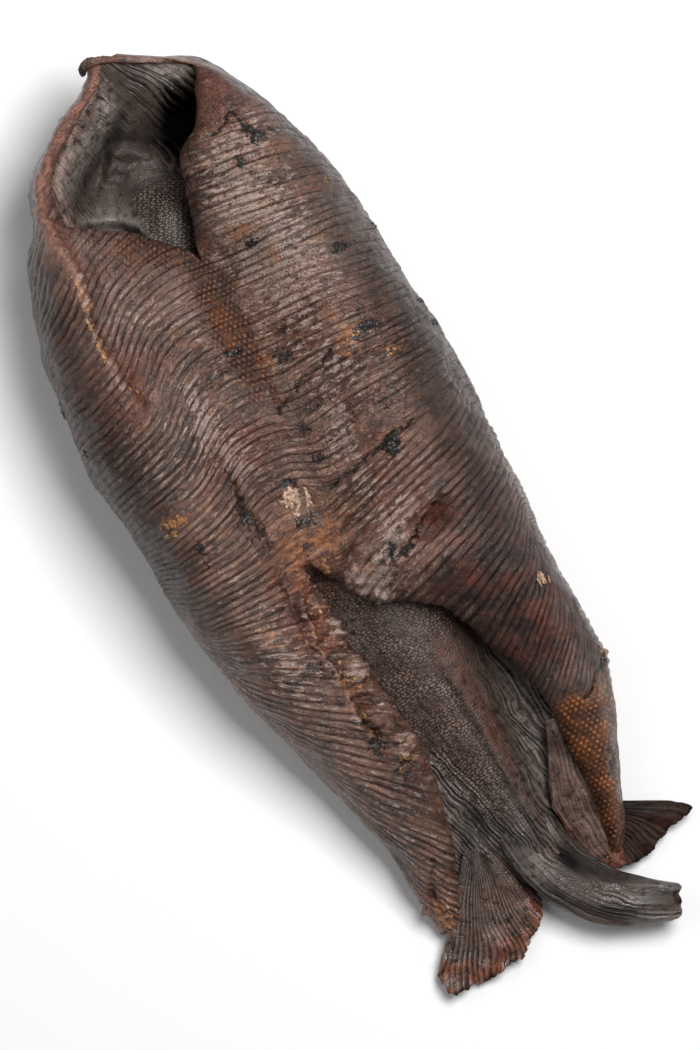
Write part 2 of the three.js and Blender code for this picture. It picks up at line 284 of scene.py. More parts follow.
left_climb = along((40, 16), (80, 26), (120, 28), (160, 26), (190, 18), (215, 6), (235, 0))
left_crease = along((60, -48), (85, -46), (120, -36), (165, -27), (205, -23))
left_flank_lean = along((60, 0.4), (95, 0.35), (115, 0.15), (165, 0.12), (187, 0), (215, -0.25), (376, -0.3))
left_rear_lean = along((222, 0), (240, -0.25), (250, -0.4), (262, -0.55), (275, -0.62), (290, -0.75),
                       (305, -1), (320, -1.2), (376, -1.5))
right_front_lean = along((50, -0.1), (80, -0.1), (95, 0), (110, -0.07), (125, 0.01), (140, 0.02), (155, 0.1),
                         (172, 0.14), (195, 0.2))
right_rear_lean = along((170, 0.4), (200, 0.36), (215, 0.4), (230, 0.4), (245, 0.5), (260, 0.72), (275, 0.95),
                        (290, 1.05), (310, 1.2))


def fan(u, v, lean, start):
    """The station at which the straight fin ray through a point crosses the line at start across."""
    station = v
    for _ in range(8):
        station = v + lean(station) * (np.clip(u, -75, 95) - start)
    return station


def past_seam(u, v):
    """How far a point lies behind the slanting seam between the right wing's two fans of fin rays."""
    return v - (193 - 0.27 * (u - 10))


def ridge_phase(u, v):
    """A measure across the fin rays in millimetres, which keeps one value along the whole of each ray."""
    bend = left_crease(v)
    climb = left_climb(v) * (0.72 * step(-66, -6, u) + 0.28 * step(bend - 13, bend + 13, u) - 1)
    flank = left_flank_lean(v) * np.minimum(u + 58, 0)
    left_side = fan(np.minimum(u, 0), v, left_rear_lean, start=-30) + climb + flank
    front = fan(u, v, right_front_lean, start=30)
    rear = fan(u, v, right_rear_lean, start=60) + 21
    right_side = np.where(past_seam(u, v) < 0, front, rear)
    return mix(left_side, right_side, step(0, 14, u)) - 1.5 * step(-6, 18, u)


row_shares = [0, 0.27, 0.58, 0.88, 1]
wing_station = np.interp(np.linspace(0, 1, WING_ROWS + 1), row_shares, [0, 92, 212, 320, ROLL_LENGTH])
inside_start = WING_COLUMNS - RUNS["wall"] - RUNS["floor"]
column = np.arange(WING_COLUMNS + 1)
dorsal = step(inside_start - 2, inside_start + 4, column)[None, :]


def wing_finish(wing, look):
    """Shapes one wing's skin and gathers the marks that its material reads."""
    points = wing_shape(wing, wing_station)
    u, v = points[:, :, 0], -points[:, :, 1]
    round_it = girth(points)
    beyond_crest = wing["hand"] * (round_it[:, [CREST_COLUMN]] - round_it)
    across = np.where(column <= CREST_COLUMN, wing["crest"](v) + beyond_crest, u)
    opened = np.clip(roll["open"](v), 0, 1)
    inside = dorsal * opened
    phase = ridge_phase(across, v) + 0.9 * lumps(across, v, 31, 11) + 0.35 * lumps(across, v, 11, 12)
    ridge = np.abs(np.sin(math.pi * phase / RIDGE_PITCH)) ** 0.8
    smooth = np.clip(look["smooth"](u, v), 0, 0.95)
    crisp = np.clip(look["crisp"](u, v), 0, 1)
    strength = 0.8 + 0.6 * lumps(across, v, 22, 14) + 0.3 * lumps(across, v, 7, 15)
    strength = np.clip(strength, 0.1, 1.3) * (1 - smooth)
    fibre = lumps(phase / RIDGE_PITCH, across / 16, 1, 16)
    own_depth = 0.75 + 0.7 * lumps(3.7 * np.round(phase / RIDGE_PITCH), across / 18, 1, 13)
    groove_depth = (0.8 - 0.45 * crisp) * strength * np.clip(own_depth, 0, 1.4)
    rise = (0.3 * fibre * (1 - smooth) - groove_depth * (1 - ridge)) * (1 - inside)
    for height, size, seed in ((1.3, 25, 21), (0.5, 10, 22), (0.22, 4.4, 24), (0.1, 2.2, 23)):
        rise += height * lumps(across, v, size, seed)
    astray_u = u + 1.6 * lumps(u, v, 6, 17) + 0.9 * lumps(u, v, 2.3, 18)
    astray_v = v + 1.6 * lumps(v, u, 6, 19) + 0.9 * lumps(v, u, 2.3, 20)
    rise += look["worked"](astray_u, astray_v) * (1 - inside)
    rise = rise * step(0, 7, v) * step(0, 6, ROLL_LENGTH - v) * step(0, 4, column)
    closing = step(0, 6, WING_COLUMNS - column)
    rise = rise * np.maximum(closing, 1 - opened)
    normal = outward(points) * wing["hand"]
    flat_share = ((1 - opened) * (1 - closing))[:, :, None]
    points = points + mix(normal, np.array([0, 0, 1]), flat_share) * rise[:, :, None]
    points[:, :, 2] = np.maximum(points[:, :, 2], 0)
    from_crest = np.abs(across - wing["crest"](v))
    low_rear = 0.6 * step(26, 44, from_crest) * step(195, 230, v)
    flank = step(-2, 24, from_crest) * (1 - low_rear) * (column <= CREST_COLUMN)
    flank = flank * (1 - 0.9 * step(210, 245, v) * (wing["hand"] < 0))
    in_panel = (wing["hand"] > 0) & (v > 296)
    marks = {
        "ridge_phase": phase / RIDGE_PITCH,
        "across": across,
        "inside": inside,
        "flank": flank,
        "crisp": crisp,
        "ridged": np.clip(strength, 0, 1) * (1 - inside),
        "dot_row": np.where(in_panel, 0.9 * u - 0.44 * v, phase) / WEAVE_PITCH,
        "dot_place": np.where(in_panel, 0.44 * u + 0.9 * v, across) / WEAVE_PITCH,
    }
    for name in ("soot_and_shade", "rust", "scuffs_and_sheen", "weave", "rim", "shade"):
        marks[name] = np.clip(look[name](astray_u, astray_v), 0, 1) * (1 - inside)
    return points, marks


RIGHT_CRACKS = [
    [(5, 156), (20, 148), (33, 143)],
    [(12, 192), (26, 188), (35, 185), (42, 183), (52, 181)],
    [(25, 47), (35, 41), (41, 52)],
    [(24, 222), (22, 232)],
    [(70, 309), (76, 306), (82, 299)],
    [(71, 331), (69.5, 338), (69, 346)],
]
RIGHT_KNOBS = [(6, 231, 3.5, 4, 2.4), (12, 240, 3.5, 3.5, 2), (19, 227, 6, 2.5, 1.6), (12, 219, 7, 2.5, 1.5)]
RIGHT_CORNER = [(84, 296, 4, 4, 1)]
RIGHT_SOOT = [(41, 54, 4, 2.5, 1), (31, 61, 3, 2, 0.9), (22, 91, 2.5, 1.6, 0.9), (53, 107, 5, 2.5, 0.9),
              (15, 137, 4, 2.5, 0.9), (51, 139, 7, 1.8, 1), (40, 186, 3, 5, 1), (11, 165, 3, 3, 0.8),
              (12, 178, 4, 2, 0.8), (72, 270, 8, 26, 0.2)]
RIGHT_RUST = [(20, 85, 6, 4, 0.8), (51, 62, 6, 4, 0.7), (57, 79, 5, 4, 0.7), (27, 98, 5, 4, 0.7),
              (45, 100, 7, 3, 0.6), (36, 131, 6, 3, 0.8), (42, 140, 7, 3, 0.9), (55, 152, 7, 3, 0.8),
              (2, 120, 7, 32, 0.5), (0, 208, 12, 12, 0.8), (52, 214, 5, 4, 0.4), (12, 226, 9, 5, 0.5),
              (85, 296, 4, 5, 1), (38, 72, 16, 16, 0.3), (5, 138, 6, 14, 0.6), (40, 146, 9, 5, 0.6),
              (82, 308, 5, 8, 0.8), (70, 313, 10, 6, 0.4)]
# Pale scuffs, and painted sheen on the right wing's top: the stains from 23 to 30 across, 83 to 192 along
RIGHT_SCUFFS_AND_SHEEN = [(24, 172, 6, 10, 0.6), (30, 96, 20, 32, 0.7), (26, 219, 5, 8, 0.9), (37, 211, 8, 5, 0.9),
               (30, 150, 14, 14, 0.45), (50, 236, 12, 10, 0.3), (6, 236, 6, 8, 0.8), (24, 64, 12, 16, 0.5),
               (24, 92, 8, 14, 0.5), (28, 120, 8, 14, 0.35), (24, 192, 7, 18, 0.5), (12, 229, 7, 5, 0.8),
               (36, 50, 12, 10, 0.5), (28, 88, 6, 6, 0.8), (14, 240, 5, 7, 0.7), (4, 228, 5, 6, 0.6),
               (23, 83, 8, 5, 0.6), (25, 89, 6, 5, 0.6), (15, 228, 6, 5, 0.5)]
RIGHT_WEAVE = [(1, 103, 7, 16, 1.8), (3, 128, 5, 14, 1.7), (3, 146, 4.5, 9, 1.4), (54, 66, 8, 10, 0.3)]
# Darker plum and mahogany tone of the skin. The spots in the dent at 40 and 47 across, and along the rolled
# edge by the front hollow, from 5 to 14 across and 47 to 77 along, are painted shade.
RIGHT_SHADE = [
    (72, 270, 18, 40, 0.85), (48, 262, 12, 26, 0.8), (60, 225, 18, 14, 0.5), (70, 160, 9, 60, 0.55),
    (40, 222, 7, 4, 0.6), (47, 217, 7, 4, 0.6), (42, 30, 16, 15, 0.6), (1, 116, 7, 24, 0.5),
    (58, 125, 6, 14, 0.4), (8, 166, 11, 16, 0.5), (36, 162, 8, 14, 0.2), (57, 345, 3, 34, 0.9),
    (80, 335, 4, 22, 0.7), (54, 100, 12, 20, 0.35), (56, 66, 10, 14, 0.4), (57, 200, 16, 22, 0.5),
    (48, 243, 16, 10, 0.5), (14, 47, 6, 7, 0.7), (5, 77, 6, 14, 0.45), (30, 32, 8, 14, 0.1),
    (8, 64, 7, 14, 0.35), (58, 280, 12, 18, 0.4), (30, 61, 22, 5, 0.25), (38, 241, 8, 8, 0.45),
    (40, 203, 8, 7, 0.3), (57, 330, 5, 14, 0.3), (66, 352, 8, 12, 0.4), (46, 298, 6, 10, 0.5),
    (36, 243, 6, 6, 0.3), (65, 250, 7, 12, 0.3), (47, 290, 6, 14, 0.3), (56, 326, 4, 8, 0.3),
]
RIGHT_BARE = [(45, 217, 10, 5, 0.8), (1, 122, 7, 30, 0.85), (30, 165, 12, 16, 0.5), (34, 105, 14, 14, 0.4),
              (11, 230, 8, 7, 0.8), (16, 240, 7, 7, 0.8)]
RIGHT_RED = [(41, 222, 9, 3.5, 1), (48, 217, 7, 3.5, 1)]
FRONT_RIM = [(0, -1), (10, 4), (20, 9), (28, 14)]
TUCK = [(22, 231), (28, 226), (33.4, 222), (39.5, 217.3), (46.4, 213), (53.5, 208)]
tuck_line = along(*TUCK)


def near_lines(u, v, lines, reach):
    return sum(near_line(u, v, line, reach) for line in lines)


def right_worked(u, v):
    rough = (spots(u, v, RIGHT_CORNER) + spots(u, v, RIGHT_KNOBS)) * (1 + lumps(u, v, 2, 31))
    behind = 0.82 * (v - tuck_line(u))
    tuck = np.where(behind < 0, 2.4, -2.8) * bell(behind / 5) * step(20, 30, u) * step(58, 46, u)
    return -1.3 * near_lines(u, v, RIGHT_CRACKS, 1.1) + rough + tuck


# Soot stains and dark cracks, and painted shade along the crease of the tuck.
def right_soot_and_tuck_shade(u, v):
    cracks = 0.9 * near_lines(u, v, RIGHT_CRACKS, 1.1)
    return spots(u, v, RIGHT_SOOT) + cracks + 0.85 * near_line(u, v - 1, TUCK[1:5], 1.5)


def rear_panel(u, v):
    """The bare end of the wing behind its last ridges, where the weave of the skin shows."""
    return step(300, 315, v + 0.12 * (70 - u)) * step(48, 54, u)


def dotted_panel(u, v):
    return rear_panel(u, v) * step(88, 77, u + 0.35 * (v - 308))


right_look = {
    "smooth": lambda u, v: step(58, 28, v) + 0.8 * rear_panel(u, v) + spots(u, v, RIGHT_BARE),
    "crisp": lambda u, v: step(19, -7, past_seam(u, v)),
    "worked": right_worked,
    "soot_and_shade": right_soot_and_tuck_shade,
    "rust": lambda u, v: spots(u, v, RIGHT_RUST) + dotted_panel(u, v),
    "scuffs_and_sheen": lambda u, v: spots(u, v, RIGHT_SCUFFS_AND_SHEEN),
    "weave": lambda u, v: spots(u, v, RIGHT_WEAVE) + dotted_panel(u, v),
    "rim": lambda u, v: near_line(u, v, FRONT_RIM, 3) + spots(u, v, RIGHT_RED),
    "shade": lambda u, v: spots(u, v, RIGHT_SHADE),
}
right_points, right_marks = wing_finish(right, right_look)
right_wing = sheet_piece("right_wing", right_points, right_marks)


def finish_material(name):
    material = bpy.data.materials.new(name)
    material.use_nodes = True
    tree = material.node_tree
    return material, tree, tree.nodes["Principled BSDF"]


def node(tree, kind, values=(), **settings):
    """Adds a shader node, sets its properties, and fills its inputs with numbers or links them to sockets."""
    made = tree.nodes.new(kind)
    for name, value in settings.items():
        setattr(made, name, value)
    for key, value in dict(values).items():
        if isinstance(value, bpy.types.NodeSocket):
            tree.links.new(value, made.inputs[key])
        else:
            made.inputs[key].default_value = value
    return made


def next_node(kind, values, **settings):
    """Adds a shader node to the tree that its linked inputs belong to."""
    values = dict(values)
    linked = [value for value in values.values() if isinstance(value, bpy.types.NodeSocket)]
    return node(linked[0].id_data, kind, values, **settings)


def maths(operation, a, b=0.0, c=0.0):
    return next_node("ShaderNodeMath", enumerate((a, b, c)), operation=operation).outputs[0]


def times(a, b):
    return maths("MULTIPLY", a, b)


def plus(a, b):
    return maths("ADD", a, b)


def times_plus(a, b, c):
    return maths("MULTIPLY_ADD", a, b, c)


def ramp(value, low, high, start=0.0, end=1.0):
    """A smooth change from start, where value is low, to end, where it is high."""
    inputs = enumerate((value, low, high, start, end))
    return next_node("ShaderNodeMapRange", inputs, interpolation_type="SMOOTHSTEP").outputs[0]


def linear(red, green, blue):
    """A colour as the eye's 0 to 255 values, turned into the linear light that shaders use."""
    part = [c / 255 for c in (red, green, blue)]
    return [c / 12.92 if c <= 0.04045 else ((c + 0.055) / 1.055) ** 2.4 for c in part] + [1]


def tint(share, a, b):
    """Mixes two colours. Each is a socket, or the eye's 0 to 255 values."""
    a, b = (linear(*colour) if isinstance(colour, tuple) else colour for colour in (a, b))
    return next_node("ShaderNodeMix", {0: share, 6: a, 7: b}, data_type="RGBA").outputs[2]


def mark(tree, name):
    return node(tree, "ShaderNodeAttribute", attribute_name=name).outputs["Fac"]


def cloud(where, scale, detail=4.0, roughness=0.6):
    """Random mottling that fills the whole way from 0 to 1."""
    inputs = {"Vector": where, "Scale": scale, "Detail": detail, "Roughness": roughness}
    made = next_node("ShaderNodeTexNoise", inputs)
    return next_node("ShaderNodeMapRange", enumerate((made.outputs["Fac"], 0.32, 0.68))).outputs[0]


def cell_edges(where, scale):
    """Distance from the edges of random cells."""
    inputs = {"Vector": where, "Scale": scale}
    return next_node("ShaderNodeTexVoronoi", inputs, feature="DISTANCE_TO_EDGE").outputs["Distance"]


def spread_out(x, y, z=0.0):
    return next_node("ShaderNodeCombineXYZ", enumerate((x, y, z))).outputs[0]


def relief(height, strength, distance):
    inputs = {"Height": height, "Strength": strength, "Distance": distance}
    return next_node("ShaderNodeBump", inputs).outputs["Normal"]


def wing_skin():
    """Smoked belly skin: brown ribs, pale on the crowns from wear and painted highlights, dark in the grooves
    from dirt and painted shade, with rust, soot, scuffs and painted sheen.
    """
    material, tree, shader = finish_material("smoked_wing_skin")
    where = node(tree, "ShaderNodeTexCoord").outputs["Object"]
    fine = cloud(where, 1300, 5, 0.7)
    small = cloud(where, 420, 5, 0.7)
    mottle = cloud(where, 230, 5, 0.65)
    middling = cloud(where, 110, 5, 0.65)
    broad = cloud(where, 26, 4)
    patches = cloud(where, 13, 3)
    names = ("across", "flank", "crisp", "shade", "weave", "inside")
    across, flank, crisp, shade, weave, inside = (mark(tree, name) for name in names)
    phase = plus(mark(tree, "ridge_phase"), times_plus(middling, 0.1, -0.05))
    phase = plus(phase, times_plus(small, 0.08, -0.04))
    rib = cloud(spread_out(times(phase, 0.8), times(across, 1 / 30)), 1, 4, 0.55)
    strand = cloud(spread_out(times(phase, 2.6), times(across, 1 / 5)), 1, 4, 0.65)
    ridged = ramp(mark(tree, "ridged"), 0.1, 0.9)
    groove = maths("ABSOLUTE", times_plus(maths("FRACT", phase), 2, -1))
    line = maths("FLOOR", plus(phase, 0.5))
    own_depth = cloud(spread_out(times(line, 3.7), times(across, 1 / 22)), 1, 3)
    hollow = times(ramp(groove, 0.3, 1.0), ridged)
    hollow = times(hollow, ramp(crisp, 0.0, 1.0, 0.55, 0.15))
    groove_line = times(ramp(groove, 0.84, 1.0), ramp(own_depth, 0.2, 0.75))
    groove_line = times(groove_line, ramp(mark(tree, "ridged"), 0.0, 0.6))
    groove_line = times(groove_line, ramp(maths("MAXIMUM", crisp, shade), 0.0, 0.9, 0.6, 1.0))
    groove_line = times(groove_line, ramp(middling, 0.15, 0.6, 0.45, 1.0))
    between = ramp(maths("SUBTRACT", 1.0, groove), 0.84, 1.0)
    between = times(between, times(crisp, ramp(own_depth, 0.6, 0.25)))
    between = times(between, ridged)
    scales = spread_out(times(phase, 1.3), times(across, 1 / 3.2), times(mottle, 0.5))
    cracks = times(ramp(cell_edges(scales, 1.0), 0.07, 0.0), times(crisp, middling))

    colour = tint(ramp(rib, 0.1, 0.9), (68, 43, 34), (128, 95, 79))
    for grain, low, high, share, tone in (
        (broad, 0.45, 0.85, 0.65, (100, 50, 33)),
        (broad, 0.4, 0.05, 0.5, (70, 52, 50)),
        (patches, 0.5, 0.9, 0.6, (122, 104, 95)),
        (patches, 0.5, 0.1, 0.6, (42, 25, 20)),
        (middling, 0.5, 0.05, 0.6, (40, 24, 18)),
        (mottle, 0.55, 0.95, 0.5, (142, 92, 70)),
        (mottle, 0.4, 0.05, 0.5, (54, 40, 38)),
        (strand, 0.6, 1.0, 0.35, (172, 144, 128)),
        (strand, 0.35, 0.0, 0.3, (42, 26, 20)),
    ):
        colour = tint(times(ramp(grain, low, high), share), colour, tone)
    # darker in the grooves: dirt, and painted shade
    colour = tint(hollow, colour, (34, 20, 15))
    # pale crowns of the ribs: wear, and a painted highlight where the light catches them
    crown_wear_and_highlight = times(ramp(groove, 0.6, 0.1), times(ramp(own_depth, 0.4, 0.9), ridged))
    colour = tint(times(times(crown_wear_and_highlight, middling), 0.5), colour, (162, 134, 118))
    glint = times(ramp(groove, 0.8, 0.3), ramp(strand, 0.45, 0.9))
    glint = times(times(glint, ramp(small, 0.3, 0.75)), ridged)
    colour = tint(times(glint, 0.55), colour, (190, 174, 165))
    colour = tint(times(cracks, 0.7), colour, (28, 17, 13))
    rim_tone = tint(times_plus(strand, 0.5, times(mottle, 0.5)), (62, 30, 22), (158, 104, 84))
    colour = tint(times(mark(tree, "rim"), ramp(small, 0.0, 0.8, 0.4, 0.9)), colour, rim_tone)

    def stain(name, edge, grain, depth):
        """A mark whose outline is broken up by the skin's own grain."""
        frayed = times_plus(grain, depth, plus(mark(tree, name), -depth / 2))
        return times(ramp(frayed, edge, edge + 0.35), ramp(mark(tree, name), 0.02, 0.2))

    # pale scuffs, and painted sheen, kept to the crowns of the ribs
    scuffs_and_sheen = stain("scuffs_and_sheen", 0.35, plus(times(strand, 0.65), times(small, 0.35)), 1.6)
    scuffs_and_sheen = times(scuffs_and_sheen, ramp(groove, 0.85, 0.35, 0.25, 1.0))
    colour = tint(times(scuffs_and_sheen, ramp(fine, 0.1, 0.9, 0.2, 0.75)), colour, (188, 166, 155))
    rust = stain("rust", 0.45, plus(times(middling, 0.5), times(strand, 0.5)), 1.6)
    rust_tone = tint(times_plus(strand, 0.6, times(small, 0.4)), (88, 48, 31), (174, 116, 72))
    colour = tint(times(rust, 0.75), colour, rust_tone)
    colour = tint(times(ramp(small, 0.3, 0.04), 0.75), colour, (30, 21, 18))
    colour = tint(times(ramp(fine, 0.72, 0.98), 0.5), colour, (190, 170, 158))
    # the shade mark: a darker plum tone of the skin, and painted shade in the dent, by the front hollow and
    # beside the left lip and hem
    plum = ramp(times_plus(middling, 0.55, times(broad, 0.45)), 0.42, 0.85)
    colour = tint(times(shade, 0.8), colour, tint(plum, (25, 15, 15), (80, 37, 27)))
    colour = tint(times(flank, 0.55), colour, (42, 28, 24))
    # thin dark groove lines: dirt in the grooves, and painted shade
    colour = tint(times(groove_line, 0.85), colour, (16, 9, 7))
    colour = tint(times(between, 0.5), colour, (24, 14, 11))
    ground_share = times(mark(tree, "rust"), ramp(middling, 0.1, 0.9))
    weave_ground = tint(times(ground_share, ground_share), (36, 20, 13), (108, 55, 30))
    bared = ramp(times_plus(mottle, 0.7, weave), 0.45, 1.5)
    colour = tint(times(bared, 0.85), colour, weave_ground)
    rows = times_plus(middling, 0.3, mark(tree, "dot_row"))
    beside_dot = plus(maths("FRACT", rows), -0.5)
    stagger = times_plus(maths("FLOOR", rows), 0.5, mark(tree, "dot_place"))
    along_dot = plus(maths("FRACT", times_plus(mottle, 0.25, stagger)), -0.5)
    off_dot = plus(times(along_dot, along_dot), times(beside_dot, beside_dot))
    off_dot = times_plus(small, 0.09, off_dot)
    dotted = times(ramp(weave, 0.03, 0.6), ramp(mottle, 0.1, 0.8, 0.1, 1.0))
    dots = times(ramp(off_dot, 0.2, 0.03), dotted)
    dot_tone = tint(times(ground_share, mark(tree, "rust")), (136, 90, 76), (204, 138, 66))
    colour = tint(times(dots, 0.7), colour, dot_tone)
    colour = tint(times(times(groove_line, ramp(weave, 0.0, 0.3)), 0.6), colour, (16, 9, 7))
    # soot, and painted shade along the tuck's crease
    soot_and_shade = stain("soot_and_shade", 0.5, small, 1.0)
    colour = tint(times(soot_and_shade, 0.93), colour, (20, 15, 13))
    colour = tint(inside, colour, tint(middling, (16, 13, 12), (30, 26, 23)))
    tree.links.new(colour, shader.inputs["Base Color"])

    rough = plus(ramp(mottle, 0.1, 0.9, 0.43, 0.22), times(groove_line, 0.3))
    rough = times_plus(shade, -0.08, rough)
    tree.links.new(plus(rough, times(inside, 0.3)), shader.inputs["Roughness"])
    crown = times(maths("SUBTRACT", 1.0, times(groove, groove)), ridged)
    height = times_plus(crown, 0.2, times(groove_line, -0.5))
    for swelling, share in ((between, -0.3), (cracks, -0.3), (mottle, 0.25), (strand, 0.2), (middling, 0.3),
                            (small, 0.22), (fine, 0.06), (dots, 0.25), (soot_and_shade, 0.5)):
        height = times_plus(swelling, share, height)
    tree.links.new(relief(height, 0.95, 0.0011), shader.inputs["Normal"])
    dull = maths("MAXIMUM", maths("MAXIMUM", times(weave, 0.8), flank), times(shade, 0.55))
    tree.links.new(ramp(dull, 0.0, 1.0, 0.47, 0.17), shader.inputs["Specular IOR Level"])
    return material


def put_on(piece, material):
    """Gives a piece its finish and its place in the frame."""
    piece.data.materials.append(material)
    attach(piece, "root")
    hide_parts("smoked_ray")


smoked_wing_skin = wing_skin()
put_on(right_wing, smoked_wing_skin)

# Left wing
# The ray's left wing, curled the same way. It tucks its edge under the right wing's and has one hard fold,
# which runs back from the snout rim, and a rough torn margin beside the rear opening.
LEFT_CRACKS = [
    [(-28, 152), (-25, 165), (-20, 204)],
    [(-21, 214), (-21, 245), (-17, 265), (-12, 285), (-10, 300)],
    [(-12, 345), (-20, 360)],
]
LEFT_FRONT_EDGE = [(-44, 56), (-35, 60), (-28, 63), (-22, 68), (-15, 73), (-10, 78), (-4, 82), (1, 87)]
LEFT_RIM = [(-7, 3), (-15, 10), (-25, 16), (-36, 24), (-44, 32), (-48, 42), (-48.5, 56), (-47.5, 64)]
LEFT_LIP = [(-38, 28), (-46, 37), (-49, 47), (-49, 58), (-47.5, 68), (-46.5, 78), (-47, 88)]
# Darker tone of the skin. The spot at -42 across, beside the hard fold, is painted shade.
LEFT_SHADE = [
    (-42, 112, 5, 24, 0.55), (-64, 120, 10, 45, 0.5), (-26, 182, 5, 24, 0.5), (-58, 200, 10, 30, 0.4),
    (-20, 235, 6, 20, 0.5), (0, 116, 7, 24, 0.5), (-12, 300, 8, 30, 0.45), (-40, 275, 9, 30, 0.35),
    (-35, 73, 12, 12, 0.55), (-6, 170, 12, 14, 0.4), (-57, 90, 9, 26, 0.35), (-30, 113, 9, 16, 0.4),
    (-8, 89, 13, 10, 0.4), (-14, 186, 7, 10, 0.45), (-25, 216, 8, 8, 0.3), (-5, 159, 6, 8, 0.3),
    (-45, 236, 6, 12, 0.4), (-6, 300, 5, 9, 0.4), (-15, 176, 7, 8, 0.3), (-31, 118, 8, 10, 0.2),
]
LEFT_STRIP = [(-14, 222), (-12, 245), (-9, 270), (-5, 290), (-3, 306)]
LEFT_TORN_END = [(-20, 365), (-14, 374)]
LEFT_HEM = [(-17, 224), (-19, 240), (-19, 252), (-16, 269), (-15, 289)]
LEFT_FLAKES = [(-8.5, 244, 3, 4, 1), (-8, 262, 3.5, 4, 0.9), (-5, 279, 3, 4, 0.6), (-3, 296, 4, 4, 0.7)]
LEFT_SOOT = [(-3, 127, 4, 2.5, 0.9), (-24, 190, 4, 12, 0.6), (-46, 192, 3, 2.5, 0.5), (-4, 200, 3, 2, 0.9),
             (-3, 183, 3, 2, 0.9), (-48, 205, 10, 20, 0.35), (-36, 250, 8, 30, 0.2), (-64, 120, 8, 40, 0.3)]
LEFT_RUST = [(-2, 116, 7, 34, 0.6), (-8, 212, 12, 12, 1), (-12, 260, 7, 40, 0.2), (-50, 179, 7, 2, 1),
             (-18, 370, 10, 9, 0.9), (-38, 190, 12, 14, 0.4), (-30, 245, 9, 34, 0.4), (-24, 76, 18, 9, 0.5)]
# Pale flakes and scuffs, and painted light from the floor on the lower rear edge at -56 across, 250 along
LEFT_SCUFFS_AND_SHEEN = [(-24, 150, 6, 20, 0.8), (-14, 175, 10, 14, 0.35), (-34, 100, 12, 14, 0.4),
              (-34, 240, 8, 24, 0.35), (-13, 262, 6, 36, 0.25), (-16, 368, 8, 8, 0.6), (-6, 236, 5, 22, 0.4),
              (-30, 250, 10, 16, 0.3), (-56, 250, 6, 14, 0.6), (-6, 216, 7, 8, 0.8), (-16, 165, 7, 12, 0.35)]
LEFT_FOLD = [(-46.5, 74), (-48, 90), (-49, 105), (-46, 122)]
LEFT_WEAVE = [(0, 106, 7, 18, 1.6), (1, 132, 6, 18, 1.2), (-18, 76, 18, 8, 0.55), (-24, 88, 22, 14, 0.35)]
LEFT_BARE = [(0, 122, 7, 30, 0.85), (-15, 170, 10, 10, 0.4)]


def left_worked(u, v):
    torn = near_line(u, v, LEFT_STRIP, 7) + near_line(u, v, LEFT_TORN_END, 8)
    ragged = np.abs(lumps(u, v, 5, 41)) + 0.6 * np.abs(lumps(u, v, 2.4, 42))
    wrinkled = 0.7 * lumps(u, v, 6, 43) + 0.5 * lumps(u, v, 2.4, 44)
    rim = near_line(u, v, LEFT_RIM, 5) * wrinkled
    lip = 2.6 * near_line(u, v, LEFT_LIP, 2.6) - 1.1 * near_line(u, v, LEFT_LIP, 6)
    hem = 1.8 * near_line(u, v, LEFT_HEM, 1.5) - 1.6 * near_line(u - 3, v, LEFT_HEM, 1.8)
    flakes = spots(u, v, LEFT_FLAKES) * (1 + lumps(u, v, 2.2, 45))
    cracks = near_lines(u, v, LEFT_CRACKS, 1.2)
    return -1.8 * cracks + torn * (3.2 * ragged - 1.2) + rim + lip + hem + 2.6 * flakes


def left_smooth(u, v):
    front = 0.6 * near_line(u, v, LEFT_RIM, 6) + 0.6 * step(48, 24, v)
    return front + 0.95 * near_line(u, v, LEFT_STRIP, 8) + spots(u, v, LEFT_BARE)


def left_rust(u, v):
    fold = 0.55 * near_line(u, v, LEFT_FOLD, 1.6)
    return spots(u, v, LEFT_RUST) + fold + 0.5 * near_line(u - 1.5, v, LEFT_HEM, 2.5)


def left_scuffs_and_sheen(u, v):
    fold = 0.8 * near_line(u, v, LEFT_FOLD, 1.3)
    return spots(u, v, LEFT_SCUFFS_AND_SHEEN + LEFT_FLAKES) + fold + 0.5 * near_line(u, v, LEFT_HEM, 1.2)


# Darker tone from the list, with painted shade on both sides of the rim lip and in the groove beside the hem;
# the flakes stay lighter.
def left_shade(u, v):
    lip = 0.8 * near_line(u, v, LEFT_LIP, 6.5) - 1.3 * near_line(u, v, LEFT_LIP, 3.5)
    hem = 0.5 * near_line(u - 3.5, v, LEFT_HEM, 2.2)
    return spots(u, v, LEFT_SHADE) + lip + hem - spots(u, v, LEFT_FLAKES)


left_look = {
    "smooth": left_smooth,
    "crisp": lambda u, v: 0.75 * step(-34, -22, u) * step(215, 198, v),
    "worked": left_worked,
    "soot_and_shade": lambda u, v: spots(u, v, LEFT_SOOT) + 0.5 * near_lines(u, v, LEFT_CRACKS, 0.9),
    "rust": left_rust,
    "scuffs_and_sheen": left_scuffs_and_sheen,
    "weave": lambda u, v: spots(u, v, LEFT_WEAVE) + 0.4 * near_line(u, v, LEFT_FRONT_EDGE, 7),
    "rim": lambda u, v: np.maximum(near_line(u, v, LEFT_RIM, 4), near_line(u, v, LEFT_LIP, 3)),
    "shade": left_shade,
}
left_points, left_marks = wing_finish(left, left_look)
left_wing = sheet_piece("left_wing", left_points, left_marks)
bpy.ops.object.mode_set(mode="EDIT")
bpy.ops.mesh.select_all(action="SELECT")
bpy.ops.mesh.flip_normals()
bpy.ops.object.mode_set(mode="OBJECT")
put_on(left_wing, smoked_wing_skin)

